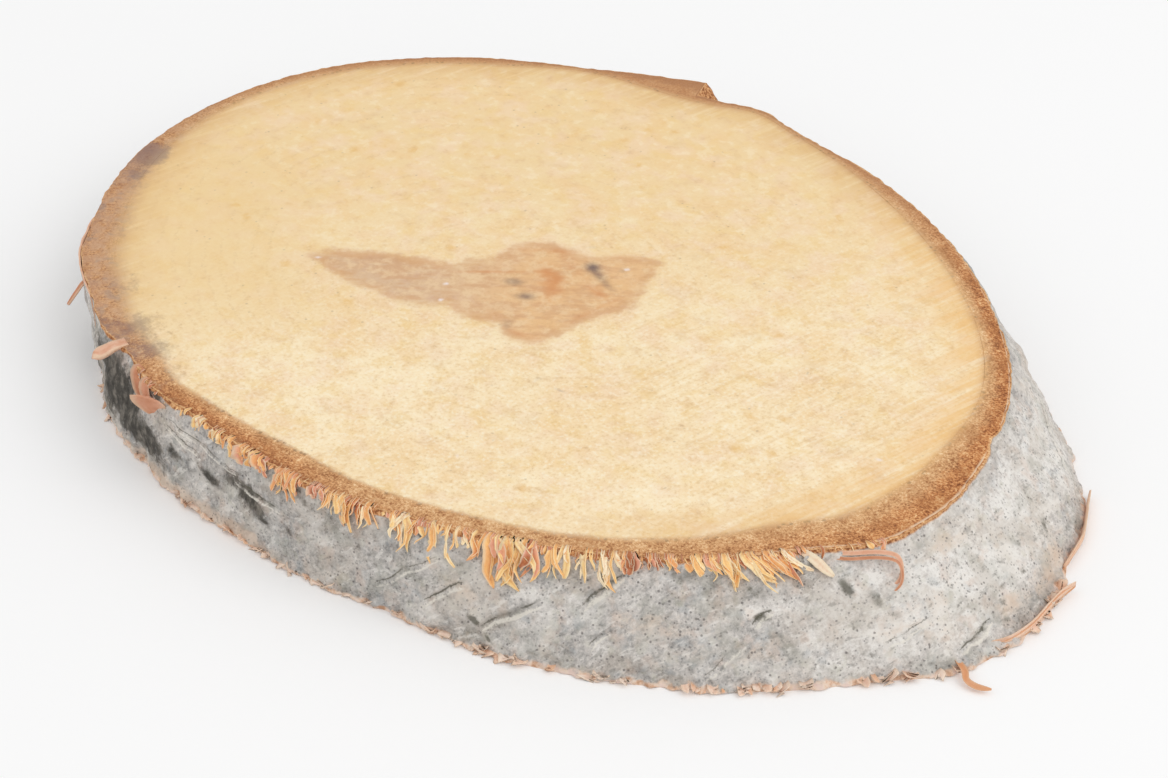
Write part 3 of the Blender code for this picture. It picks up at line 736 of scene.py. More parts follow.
# Clusters that hang from the upper rim: angle, width, length, reach outward, drift along the rim
# (millimetres), tone from 0 pale yellow through 0.5 orange to 1 reddish brown
FLAKES = [
    (-97.0, 0.6, 1.8, 0.3, 0.0, 0.35), (-92.6, 1.7, 1.2, 0.3, 0.5, 0.35), (-90.4, 1.3, 1.3, 0.3, 0.6, 0.60),
    (-87.4, 2.3, 1.6, 0.3, 0.4, 0.72), (-84.8, 1.7, 1.5, 0.3, 0.5, 0.66), (-79.6, 1.2, 2.6, 0.5, 0.4, 0.58),
    (-78.0, 0.9, 2.0, 0.5, 0.6, 0.66), (-74.4, 2.3, 1.0, 0.3, 0.5, 0.85), (-71.6, 1.5, 2.1, 0.6, 0.5, 0.40),
    (-70.0, 1.1, 1.9, 0.6, 0.7, 0.30), (-68.4, 1.3, 2.4, 0.7, 0.4, 0.42), (-66.6, 1.2, 2.0, 0.6, 0.6, 0.34),
    (-62.2, 1.2, 1.9, 0.6, 0.6, 0.40), (-60.8, 1.2, 3.0, 0.8, 0.3, 0.16), (-59.0, 1.1, 2.0, 0.6, 0.2, 0.50),
    (-57.4, 1.1, 2.4, 0.8, 0.2, 0.38), (-55.6, 0.9, 3.0, 0.9, 0.2, 0.08), (-54.0, 1.4, 2.1, 0.7, 0.2, 0.36),
    (-52.4, 1.1, 1.9, 0.6, 0.2, 0.50), (-49.9, 2.0, 3.7, 1.0, 0.6, 0.50), (-47.6, 1.8, 3.7, 1.1, 1.1, 0.32),
    (-46.3, 0.9, 3.0, 0.9, 0.5, 0.44), (-45.0, 0.9, 2.8, 0.8, 0.2, 0.66), (-42.9, 0.7, 2.4, 0.7, -0.2, 0.36),
    (-41.6, 0.6, 2.6, 0.8, 0.1, 0.24), (-38.9, 1.0, 1.9, 0.8, 0.3, 0.16), (-37.5, 1.1, 2.6, 0.8, 0.5, 0.28),
    (-36.4, 0.8, 2.0, 0.7, 0.2, 0.12), (-34.2, 2.6, 1.0, 0.5, 0.3, 0.82), (-32.0, 1.3, 0.9, 0.4, 0.3, 0.76),
    (-30.2, 0.9, 1.0, 0.5, 0.6, 0.44), (-28.2, 1.3, 1.0, 0.5, 0.7, 0.50), (-26.2, 1.2, 1.3, 0.6, 1.0, 0.42),
    (-24.6, 1.1, 1.7, 0.8, 1.3, 0.44), (-23.4, 1.3, 2.2, 0.9, 1.7, 0.40), (-22.2, 1.0, 2.4, 1.0, 1.9, 0.36),
    (-20.8, 0.9, 2.0, 0.9, 1.7, 0.30), (-19.6, 1.2, 1.9, 0.9, 1.6, 0.24), (-18.8, 0.9, 2.0, 0.9, 1.7, 0.50),
]
FLAKE_SEED = 21
SLIVER_WIDTH = 0.5 * MM
SLIVER_SHARE = 1.2
LEAF_FROM_WIDTH = 1.6 * MM
FIBRE_THICKNESS = 0.12 * MM
ROOT_DEPTH = 0.5 * MM
FIRST_BEND = 0.12 * MM
LEAF_OUTLINE = (0.45, 0.75, 0.9, 1.0, 0.85, 0.75, 0.4, 0.08)
# Widths from root to tip: pointed leaf, spoon, strap with a torn end, thread, forked strap
OUTLINES = [
    (0.5, 0.85, 1.0, 0.95, 0.8, 0.5, 0.05), (0.4, 0.5, 0.7, 1.0, 0.95, 0.6, 0.1),
    (0.9, 1.0, 0.8, 1.0, 0.85, 0.95, 0.5), (0.9, 1.0, 0.7, 0.6, 0.6, 0.4, 0.1),
    (0.6, 0.9, 0.7, 0.95, 0.6, 0.8, 0.3),
]


def hanging_blade(angle, width, length, reach, drift, tone, rng, steps=2):
    """A fibre that leaves the rim outward and bends down along the wall."""
    out, along, fall = at_angle(angle)
    rim = upper_point(angle, drop=rng.uniform(0.05, 0.4) * MM)
    sway = rng.uniform(-0.2, 0.2) * length
    kink = rng.uniform(-0.14, 0.14) * length
    curl = rng.uniform(-0.06, 0.12) * length
    stops = [
        rim - out * ROOT_DEPTH,
        rim + out * FIRST_BEND,
        rim + out * 0.50 * reach + along * (0.3 * drift + sway) + fall * 0.38 * length,
        rim + out * 0.80 * reach + along * (0.7 * drift + sway - kink) + fall * 0.72 * length,
        rim + out * (reach + curl) + along * (drift + kink) + fall * length,
    ]
    path = smooth_path(stops, steps)
    facing = (out + 0.8 * UP + along * rng.uniform(-0.9, 0.9)).normalized()
    widths = [w * rng.uniform(0.75, 1.2) for w in shaped(width, rng.choice(OUTLINES), len(path))]
    cup = rng.uniform(-0.1, 0.4)
    return Blade(path, widths, facing, cup, FIBRE_THICKNESS, tone, twist=rng.uniform(-1.0, 1.0))


def leaf(angle, width, length, reach, drift, tone, rng):
    """A wide fibre with a ragged outline, slightly hollow towards the outside."""
    blade = hanging_blade(angle, width, length, reach, drift, tone, rng, steps=3)
    widths = [w * rng.uniform(0.8, 1.1) for w in shaped(width, LEAF_OUTLINE, len(blade.points))]
    return blade._replace(widths=widths, cup=rng.uniform(0.1, 0.45), twist=rng.uniform(-0.5, 0.5))


def make_flakes(material):
    """Ragged clusters of slivers that hang from the upper rim."""
    rng = random.Random(FLAKE_SEED)
    blades = []
    for angle, width, length, reach, drift, tone in FLAKES:
        width, length, reach, drift = width * MM, length * MM, reach * MM, drift * MM
        per_degree = math.radians(1.0) * float(upper_radius(np.array(angle)))
        if width > LEAF_FROM_WIDTH:
            blades.append(leaf(angle, width, length, reach, drift, tone, rng))
        for _ in range(2 + round(SLIVER_SHARE * width / SLIVER_WIDTH)):
            beside = rng.uniform(-0.45, 0.45)
            place = angle + beside * width / per_degree
            fall = length * rng.uniform(0.35, 1.0)
            thin = SLIVER_WIDTH * rng.uniform(0.5, 2.0)
            own_tone = min(max(tone + rng.uniform(-0.3, 0.3), 0.0), 1.0)
            sideways = drift * rng.uniform(0.3, 1.2) + (beside + rng.uniform(-0.4, 0.4)) * fall
            outward = reach * rng.uniform(0.4, 1.3) + rng.uniform(0.0, 0.5) * MM
            blades.append(hanging_blade(place, thin, fall, outward, sideways, own_tone, rng))
    return blades_object("torn_flakes", blades, material)


# Short fringe at the upper rim: first and last angle, degrees from fibre to fibre, longest (millimetres)
FRINGE = [
    (-112.0, -98.0, 1.8, 0.5), (-98.0, -80.0, 0.9, 0.6), (-80.0, -66.0, 0.6, 0.7), (-66.0, -63.0, 0.9, 0.4),
    (-63.0, -36.0, 0.45, 0.8), (-36.0, -17.0, 0.32, 0.9), (-17.0, -9.0, 0.7, 0.6),
]
FRINGE_SEED = 8


def make_fringe(material):
    """Short torn fibres all along the front of the upper rim."""
    rng = random.Random(FRINGE_SEED)
    blades = []
    for first, last, spacing, longest in FRINGE:
        angle = first
        while angle < last:
            angle += spacing * rng.uniform(0.4, 1.6)
            length = longest * rng.uniform(0.25, 1.0) ** 1.5 * MM
            width = rng.uniform(0.15, 0.65) * MM
            reach = rng.uniform(0.05, 0.5) * MM
            drift = rng.uniform(-0.9, 1.1) * length
            tone = rng.uniform(0.3, 1.0)
            blades.append(hanging_blade(angle, width, length, reach, drift, tone, rng, steps=1))
    return blades_object("rim_fringe", blades, material)


# Teeth at the lower rim: angle, width, reach, rise (millimetres)
TEETH = [
    (-119.0, 1.0, 0.4, 0.2), (-103.0, 1.2, 0.5, 0.3), (-99.5, 1.3, 0.6, 0.5), (-96.5, 1.1, 0.5, 0.4),
    (-35.6, 0.8, 0.8, 0.0), (-34.4, 0.6, 0.5, 0.0), (-32.6, 0.7, 0.4, 0.0), (-30.0, 0.8, 0.7, 0.0),
    (-27.5, 0.9, 0.4, 0.0), (-18.0, 0.9, 0.6, 0.0),
]
SMALL_TEETH = 150
SMALL_TEETH_STRETCH = (60.0, 368.0)
TOOTH_SEED = 4
TOOTH_SHARES = (0.9, 1.0, 0.95, 0.9, 0.7, 0.45, 0.15)
TOOTH_THICKNESS = 0.14 * MM
TOOTH_ROOT_DEPTH = 0.7 * MM
TOOTH_BEND = 0.1 * MM
CLEAR_OF_BREAK = 2.0


def tooth(angle, width, reach, rise, tone, rng):
    out, along, _ = at_angle(angle)
    rim = lower_point(angle, rise=rng.uniform(0.2, 0.6) * MM)
    skew = along * rng.uniform(-0.6, 0.6) * reach
    stops = [
        rim - out * TOOTH_ROOT_DEPTH,
        rim + out * TOOTH_BEND,
        rim + out * 0.65 * reach + skew * 0.5 + UP * 0.4 * rise,
        rim + out * reach + skew + UP * rise,
    ]
    path = smooth_path(stops, 2)
    facing = (UP + along * rng.uniform(-0.5, 0.5) + out * 0.3).normalized()
    widths = shaped(width, TOOTH_SHARES, len(path))
    return Blade(path, widths, facing, rng.uniform(-0.1, 0.3), TOOTH_THICKNESS, tone)


def make_teeth(material):
    """Torn edge of the bark along the lower rim."""
    rng = random.Random(TOOTH_SEED)
    blades = []
    for angle, width, reach, rise in TEETH:
        blades.append(tooth(angle, width * MM, reach * MM, rise * MM, 0.2, rng))
        blades.append(tooth(angle + 0.8, 0.6 * width * MM, 0.8 * reach * MM, rise * MM, 0.4, rng))
    for _ in range(SMALL_TEETH):
        angle = away_from(rng.uniform(*SMALL_TEETH_STRETCH), 0.0)
        if abs(angle - BROKEN_END[0]) < CLEAR_OF_BREAK:
            continue
        width = rng.uniform(0.5, 2.0) * MM
        reach = rng.uniform(0.03, 0.16) * MM
        blades.append(tooth(angle, width, reach, rng.uniform(-0.2, 0.0) * MM, rng.uniform(0.0, 0.35), rng))
    return blades_object("foot_fringe", blades, material)


def strip(stops, steps, width, shares, facing, cup, thickness, tone, twist=0.0):
    """One blade through the given places; width and thickness in millimetres."""
    path = smooth_path(stops, steps)
    return Blade(path, shaped(width * MM, shares, len(path)), facing, cup, thickness * MM, tone, twist)


def rim_strip(places, steps, width, shares, facing, cup, thickness, tone):
    """One blade at the upper rim; facing is an angle, with an outward and an upward share."""
    angle, outward, upward = facing
    toward = outward_vector(angle) * outward + UP * upward
    return strip([from_rim(*place) for place in places], steps, width, shares, toward, cup, thickness, tone)


# Strips at the upper rim: places (angle, then millimetres outward, along the rim and down), points in each
# span, width, shares of the width from root to tip, facing, cup, thickness, tone
SPLINTER = (
    [(-134.5, -0.6, 0.0, 0.5), (-134.5, 0.3, 0.0, 0.6), (-134.5, 1.2, 0.1, 1.6), (-134.5, 2.2, 0.1, 2.9)],
    4, 0.8, (1, 1, 0.95, 0.85, 0.6), (-134.5, 1.0, 1.0), 0.15, 0.35, 0.8)
TONGUE = (
    [(-118.4, -0.8, 0.0, 0.4), (-118.4, 0.2, 0.0, 0.35), (-118.4, 1.2, 0.0, 0.7), (-118.4, 2.1, 0.0, 0.9),
     (-118.4, 2.8, -0.1, 0.7)],
    3, 1.7, (0.85, 0.8, 0.8, 0.85, 0.95, 1.0, 0.85, 0.3), (-118.4, 0.0, 1.0), 0.25, 0.9, 0.45)
PEEL_STRIP = (
    [(-11.5, 0.3, 0.0, 1.5), (-9.0, 0.4, 0.0, 1.1), (-6.0, 0.3, 0.0, 0.6), (-3.0, 0.0, 0.0, 0.35)],
    4, 0.9, (0.3, 0.9, 1, 0.8, 0.5, 0.2), (-7.0, 1.0, 0.6), 0.1, 0.18, 0.2)
CREAM_FLAKE = (
    [(-16.4, -0.4, -0.9, 0.3), (-16.4, 1.0, -0.2, 0.4), (-16.4, 2.0, 0.7, 1.2), (-16.4, 2.5, 1.4, 1.8)],
    2, 1.0, (0.5, 0.9, 1, 0.8, 0.3), (-16.4, 1.0, 1.0), 0.1, 0.16, 0.05)
# Long thin strip that lifts off the right-hand rim, arches along it and hangs down
RIM_CURL = [
    (-15.6, -0.6, 0.0, 0.5), (-13.6, 0.5, 0.0, 0.5), (-11.0, 1.0, 0.0, 0.35), (-9.6, 1.9, 0.0, 0.5),
    (-9.4, 2.6, 0.0, 1.4), (-9.7, 3.0, 0.0, 2.4), (-10.4, 3.1, 0.0, 3.1),
]
# Its parts: shift in millimetres, width, tone
RIM_CURL_PARTS = [((0.0, 0.0, 0.0), 0.45, 0.5), ((0.35, -0.3, -0.3), 0.35, 0.85)]
# Three-cornered flap of inner bark at the left of the rim, and the folds that run down to it
POCKET_FLAP = [
    (-106.6, 0.4, -0.2, 3.3), (-106.6, 0.7, 0.2, 2.2), (-106.6, 0.9, 0.6, 1.2), (-106.6, 1.1, 1.0, 0.25),
]
# Folds: angle, place of the end along the rim and down, width, tone
POCKET_STRANDS = [(-111.8, 1.0, 2.6, 1.7, 0.8), (-108.6, 1.0, 1.8, 1.5, 0.65)]


def pocket_flap():
    """The flap is joined at its lower corner, and its upper edge stands off the wall."""
    stops = [from_rim(*place) for place in POCKET_FLAP]
    out, along, _ = at_angle(POCKET_FLAP[0][0])
    upper_edge = 3.0 * along - 1.8 * out + 0.6 * UP
    facing = upper_edge.cross(stops[-1] - stops[0]).normalized()
    return strip(stops, 3, 3.8, (0.12, 0.5, 0.85, 1.0, 1.0), facing, 0.1, 0.25, 0.72)


def pocket_strand(angle, end_along, end_drop, width, tone):
    places = [(angle, -0.4, 0.0, 0.2), (angle, 0.15, 0.1 * end_along, 0.5),
              (angle, 0.35, 0.5 * end_along, 0.6 * end_drop), (angle, 0.5, end_along, end_drop)]
    return rim_strip(places, 3, width, (0.8, 1.0, 0.9, 0.8, 0.5), (angle, 1.0, 1.0), 0.3, 0.25, tone)


def rim_curl(shift, width, tone):
    stops = [from_rim(*place) + Vector(shift) * MM for place in RIM_CURL]
    return strip(stops, 4, width, (1, 1, 1, 1, 0.9, 0.5), outward_vector(-11.0) + UP, 0.2, 0.16, tone)


# Curl at the lower rim, in millimetres outward, along the rim and down
FOOT_CURL_ANGLE = -9.6
FOOT_CURL = [(-1.0, 0.2, 0.0), (0.5, 0.0, 0.1), (1.5, -0.4, 0.35), (2.6, 0.0, 0.45), (3.6, 0.9, 0.3)]


def foot_curl():
    """Curl of bark that hangs out at the lower rim, near the right-hand end."""
    out, along, _ = at_angle(FOOT_CURL_ANGLE)
    middle = lower_point(FOOT_CURL_ANGLE, rise=0.8 * MM)
    stops = [middle + (out * o + along * a - UP * drop) * MM for o, a, drop in FOOT_CURL]
    return strip(stops, 3, 0.8, (0.9, 1, 0.8, 0.9, 0.8, 0.3), UP + 0.5 * along, 0.3, 0.2, 0.65, 0.9)


# Torn strips along the lower rim: angle, inset from the edge in millimetres
LONG_STRIP = [(-5.0, 1.2), (-3.0, 0.5), (0.0, 0.3), (3.0, 0.2), (5.6, -0.2), (7.6, -1.0)]
END_STRIP = [(9.5, 0.6), (12.0, 0.2), (15.0, 0.1), (18.0, 0.0), (20.5, -0.2), (22.5, -0.6)]
# Layers of the two strips: course, rise, width (millimetres), tone
FOOT_STRIPS = [(LONG_STRIP, 0.9, 1.0, 0.3), (LONG_STRIP, 0.55, 0.8, 0.7), (END_STRIP, 0.8, 0.9, 0.35),
               (END_STRIP, 0.5, 0.6, 0.6)]


def foot_strip(course, rise, width, tone):
    """Long torn strip that lies along the lower rim and stands off it at its far end."""
    stops = [lower_point(angle, inset=inset * MM, rise=rise * MM) for angle, inset in course]
    facing = outward_vector(sum(angle for angle, _ in course) / len(course))
    return strip(stops, 4, width, (0.4, 0.8, 1, 1, 1, 0.9, 0.4), facing, 0.2, 0.2, tone)


# Grey tab at the right of the rim, in millimetres outward, down the wall and back along the rim
BARK_FOLD = [(0.2, 3.4, 0.4), (0.55, 2.2, 0.0), (0.75, 1.2, 0.0), (0.6, 0.2, 0.0)]
# Depth share at which the bark has its plain grey
PLAIN_DEPTH = 0.4


def make_bark_fold(bark_material):
    """Grey tab of outer bark that stands up to the rim at the right."""
    out, along, fall = at_angle(-17.5)
    rim = upper_point(-17.0, drop=0.1 * MM)
    stops = [rim + (out * o + fall * down - along * back) * MM for o, down, back in BARK_FOLD]
    fold = strip(stops, 3, 4.2, (0.9, 1, 0.8, 0.5, 0.06), out + 0.3 * UP, -0.08, 0.3, 0.3)
    piece = blades_object("bark_fold", [fold], bark_material)
    depth = piece.data.attributes.new("depth", "FLOAT", "POINT")
    depth.data.foreach_set("value", [PLAIN_DEPTH] * len(piece.data.vertices))
    return piece


# Sheet of outer bark at the left rim
SHEET_FIRST, SHEET_LAST = -149.0, -131.0
SHEET_COLUMNS = 48
SHEET_THICKNESS = 0.18 * MM
SHEET_STAND = 0.3 * MM
SHEET_DEPTHS = (0.012, 0.1, 0.2, 0.3, 0.4)
SHEET_CLEARANCE = 0.1 * MM
SHEET_ROUGHNESS = 0.12 * MM
SHEET_GRAIN = 1.5 * MM
SHEET_TONE = 0.28


def make_sheet(torn_material, bark_material):
    """Thin sheet of outer bark that stands off the left rim, grey outside and torn inside."""
    angles = np.linspace(SHEET_FIRST, SHEET_LAST, SHEET_COLUMNS)
    out = outward_of(angles)
    ease = np.sin(np.pi * np.linspace(0, 1, SHEET_COLUMNS)) ** 0.5
    outside, inside = [], []
    for depth in SHEET_DEPTHS:
        wall = wall_places(angles, depth)
        rough = SHEET_ROUGHNESS * noise_field(wall, SHEET_GRAIN, 6.0)
        stand = SHEET_STAND * ease * (1 - (depth / SHEET_DEPTHS[-1]) ** 2) + SHEET_CLEARANCE
        outside.append(wall + out * (stand + rough)[:, None])
        inside.append(wall + out * (stand + rough - SHEET_THICKNESS)[:, None])
    profile = outside + inside[::-1]
    loops = np.stack(profile, axis=1)
    plain = {"depth": PLAIN_DEPTH, "pale": 1.0, "tone": SHEET_TONE}
    attributes = {key: np.full(loops.shape[:2], value) for key, value in plain.items()}
    outer_strips = len(SHEET_DEPTHS) - 1
    of_strip = np.array([1.0] * outer_strips + [0.0] * (len(profile) - outer_strips))
    material_of_face = np.tile(of_strip, SHEET_COLUMNS - 1)
    return grid_object("bark_sheet", loops, attributes, [torn_material, bark_material], material_of_face)


# Materials
def tint(red, green, blue):
    """A colour given as it looks on a screen, 0 to 255."""
    def linear(value):
        value /= 255.0
        return value / 12.92 if value <= 0.04045 else ((value + 0.055) / 1.055) ** 2.4
    return (linear(red), linear(green), linear(blue), 1.0)


class Shading:
    """Short names for the nodes of one material."""

    def __init__(self, name, roughness, specular=0.3):
        self.material = bpy.data.materials.new(name)
        self.material.use_nodes = True
        self.tree = self.material.node_tree
        self.shader = self.tree.nodes["Principled BSDF"]
        self.shader.inputs["Roughness"].default_value = roughness
        self.shader.inputs["Specular IOR Level"].default_value = specular
        coordinates = self.tree.nodes.new("ShaderNodeTexCoord")
        self.place = coordinates.outputs["Object"]

    def connect(self, socket, value):
        if isinstance(value, bpy.types.NodeSocket):
            self.tree.links.new(value, socket)
        else:
            socket.default_value = value

    def attribute(self, name):
        node = self.tree.nodes.new("ShaderNodeAttribute")
        node.attribute_name = name
        return node.outputs["Fac"]

    def math(self, operation, first, second=0.0):
        node = self.tree.nodes.new("ShaderNodeMath")
        node.operation = operation
        self.connect(node.inputs[0], first)
        self.connect(node.inputs[1], second)
        return node.outputs[0]

    def turned(self, rotation=(0.0, 0.0, 0.0), scale=(1.0, 1.0, 1.0)):
        """Object coordinates turned first and stretched after."""
        turn = self.tree.nodes.new("ShaderNodeMapping")
        turn.inputs["Rotation"].default_value = rotation
        self.connect(turn.inputs["Vector"], self.place)
        stretch = self.tree.nodes.new("ShaderNodeMapping")
        stretch.inputs["Scale"].default_value = scale
        self.connect(stretch.inputs["Vector"], turn.outputs[0])
        return stretch.outputs[0]

    def noise(self, size, detail=3.0, rough=0.55, vector=None):
        """Noise with features of about the given size in millimetres."""
        node = self.tree.nodes.new("ShaderNodeTexNoise")
        node.inputs["Scale"].default_value = 1.0 / (size * MM)
        node.inputs["Detail"].default_value = detail
        node.inputs["Roughness"].default_value = rough
        self.connect(node.inputs["Vector"], vector or self.place)
        return node.outputs["Fac"]

    def dots(self, spacing, outer, inner, hidden, shown):
        """Dots that fade in from the outer to the inner radius, in the cells whose chance value is high enough."""
        node = self.tree.nodes.new("ShaderNodeTexVoronoi")
        node.inputs["Scale"].default_value = 1.0 / (spacing * MM)
        self.connect(node.inputs["Vector"], self.place)
        split = self.tree.nodes.new("ShaderNodeSeparateColor")
        self.connect(split.inputs[0], node.outputs["Color"])
        return self.product(self.step(node.outputs["Distance"], outer, inner),
                            self.step(split.outputs[0], hidden, shown))

    def step(self, value, low, high):
        """0 below low, 1 above high, smooth between; high may be the lower number."""
        node = self.tree.nodes.new("ShaderNodeMapRange")
        node.interpolation_type = "SMOOTHSTEP"
        self.connect(node.inputs["Value"], value)
        rises = low < high
        node.inputs["From Min"].default_value = min(low, high)
        node.inputs["From Max"].default_value = max(low, high)
        node.inputs["To Min"].default_value = 0.0 if rises else 1.0
        node.inputs["To Max"].default_value = 1.0 if rises else 0.0
        return node.outputs["Result"]

    def ramp(self, value, stops):
        """Colours by value; each stop is a value and the three parts of its colour."""
        node = self.tree.nodes.new("ShaderNodeValToRGB")
        elements = node.color_ramp.elements
        while len(elements) < len(stops):
            elements.new(0.5)
        for element, (position, *colour) in zip(elements, stops):
            element.position = position
            element.color = tint(*colour)
        self.connect(node.inputs[0], value)
        return node.outputs["Color"]

    def mix(self, factor, first, second):
        node = self.tree.nodes.new("ShaderNodeMix")
        node.data_type = "RGBA"
        self.connect(node.inputs[0], factor)
        self.connect(node.inputs[6], first)
        self.connect(node.inputs[7], second)
        return node.outputs[2]

    def product(self, first, *others):
        for other in others:
            first = self.math("MULTIPLY", first, other)
        return first

    def total(self, first, *others):
        for other in others:
            first = self.math("ADD", first, other)
        return first

    def sum_of(self, *parts):
        """Sum of values, each with its own weight."""
        return self.total(*(self.product(value, weight) for value, weight in parts))

    def centred(self, value, amount):
        """A noise that runs about 0.5 turned into one that runs about 0, of the given size."""
        return self.product(self.math("SUBTRACT", value, 0.5), amount)

    def over(self, base, colour, share, *masks):
        """The base with another colour laid over it, at most by the share, where all the masks are 1."""
        if not isinstance(colour, bpy.types.NodeSocket):
            colour = tint(*colour)
        return self.mix(self.product(share, *masks), base, colour)

    def patches(self, base, rows):
        """Soft patches laid over the base: size in millimetres, noise from and to, share, colour."""
        for size, low, high, share, *colour in rows:
            base = self.over(base, colour, share, self.step(self.noise(size), low, high))
        return base

    def finish(self, colour, height, distance, strength):
        """Connect the colour, and a bump of the given height in metres."""
        self.connect(self.shader.inputs["Base Color"], colour)
        bump = self.tree.nodes.new("ShaderNodeBump")
        bump.inputs["Strength"].default_value = strength
        bump.inputs["Distance"].default_value = distance
        self.connect(bump.inputs["Height"], height)
        self.connect(self.shader.inputs["Normal"], bump.outputs["Normal"])
        return self.material


SAW_TURN = math.radians(-82.0)


def sawn_face_material():
    """Pale sawn birch with its stained heart, running out into the brown sawn bark."""
    s = Shading("sawn_birch_face", 0.68, 0.2)
    from_bark = s.attribute("from_bark")
    blotch = s.noise(4.2)
    small = s.noise(1.5, 4.0, 0.62)
    grain = s.noise(0.42, 3.0, 0.7)
    streak = s.noise(0.5, 3.0, 0.6, s.turned((0, 0, SAW_TURN), (0.06, 1.0, 1.0)))
    wide_streak = s.noise(1.1, 3.0, 0.65, s.turned((0, 0, SAW_TURN), (0.08, 1.0, 1.0)))

    near = s.attribute("near_and_lit")
    # Painted light: the wood is lighter and paler towards the front right
    wood = s.mix(near, tint(243, 215, 166), tint(254, 235, 198))
    wood = s.over(wood, (244, 214, 166), 0.45, s.step(s.noise(14, 2.0), 0.40, 0.65))
    wood = s.over(wood, (243, 205, 150), 0.44, s.step(blotch, 0.44, 0.66))
    wood = s.patches(wood, [
        (3.6, 0.46, 0.66, 0.50, 247, 219, 188), (2.4, 0.48, 0.68, 0.46, 242, 208, 144),
        (3.0, 0.56, 0.72, 0.22, 226, 200, 162)])
    wood = s.over(wood, (234, 196, 142), 0.26, s.step(small, 0.52, 0.68))
    wood = s.over(wood, (255, 241, 210), 0.32, s.step(small, 0.47, 0.32))
    fine_share = s.total(s.product(near, 0.85), 0.12)
    wood = s.over(wood, (221, 187, 136), 0.48, s.step(grain, 0.52, 0.68), fine_share)
    wood = s.over(wood, (255, 248, 226), 0.46, s.step(grain, 0.48, 0.34), fine_share)
    right = s.attribute("right_ring")
    left = s.attribute("left_ring")
    wood = s.over(wood, (240, 208, 152), 0.6, left, s.step(from_bark, -30.0, -10.0))
    sawn = s.product(near, s.total(s.product(right, 0.8), 0.2))
    wood = s.over(wood, (226, 190, 138), 0.32, s.step(streak, 0.52, 0.70), sawn)
    wood = s.over(wood, (255, 247, 224), 0.28, s.step(streak, 0.46, 0.30), sawn)

    wave = s.math("SINE", s.product(s.total(s.attribute("growth"), s.centred(small, 0.8)), 2 * math.pi))
    late = s.product(s.step(wave, 0.5, 1.0), s.step(s.noise(8, 2.0), 0.42, 0.62), s.step(grain, 0.40, 0.62))
    wood = s.over(wood, (214, 180, 136), 0.20, late)
    specks = s.product(s.dots(0.75, 0.26, 0.10, 0.70, 0.78), s.step(wave, -0.5, 0.6))
    wood = s.over(wood, (176, 158, 132), 0.42, specks, s.step(s.noise(6, 2.0), 0.40, 0.60))
    wood = s.over(wood, (234, 188, 112), 0.5, s.dots(2.6, 0.40, 0.05, 0.78, 0.86), s.step(small, 0.4, 0.6))

    away_from_front = s.math("SUBTRACT", 1.0, s.attribute("front_ring"))
    honey = s.product(s.step(from_bark, -9.0, -0.5), s.step(wide_streak, 0.36, 0.66), s.total(right, 0.15))
    wood = s.over(wood, (243, 193, 122), 0.42, honey)
    tanned = s.total(from_bark, s.centred(blotch, 3.0))
    tan = s.mix(right, tint(224, 184, 128), tint(242, 196, 130))
    tanning = s.product(s.step(tanned, -6.0, 0.5), away_from_front, s.step(wide_streak, 0.20, 0.60))
    wood = s.over(wood, tan, 0.75, tanning)

    fibrous = s.noise(1.8, 3.0, 0.6, s.turned((0, 0, math.radians(-40)), (0.35, 1, 1)))
    heart = s.total(s.attribute("heart"), s.centred(small, 2.6), s.centred(blotch, 2.4))
    tail = s.attribute("heart_tail")
    flesh = s.mix(tail, tint(232, 186, 134), tint(216, 181, 148))
    flesh = s.over(flesh, (206, 154, 112), 0.65, s.step(fibrous, 0.44, 0.62))
    flesh = s.over(flesh, (240, 208, 164), 0.50, s.step(small, 0.54, 0.36))
    flesh = s.over(flesh, (200, 158, 120), 0.30, s.step(grain, 0.50, 0.70))
    flesh = s.over(flesh, (206, 166, 148), 0.45, s.step(s.noise(2.6, 3.0), 0.54, 0.70), tail)
    wood = s.over(wood, flesh, 0.85, s.step(heart, 1.5, -1.5))
    border = s.product(s.step(heart, 0.9, 0.0), s.step(heart, -1.5, -0.2), s.step(fibrous, 0.25, 0.55))
    wood = s.over(wood, (206, 148, 98), 0.46, border)
    warm = s.total(s.attribute("warms"), s.centred(small, 0.9))
    wood = s.over(wood, (214, 142, 86), 0.80, s.step(warm, 0.0, 1.15))
    dark = s.total(s.attribute("darks"), s.centred(small, 0.8))
    wood = s.over(wood, (98, 86, 92), 0.92, s.step(dark, 0.08, 1.25))
    wood = s.over(wood, (246, 236, 234), 0.8, s.step(s.attribute("whites"), 0.2, 1.0))

    spread = s.total(s.attribute("smudge"), s.centred(small, 1.5), s.centred(grain, 0.7))
    wood = s.over(wood, (158, 140, 124), 0.62, s.step(spread, 0.25, 1.05))

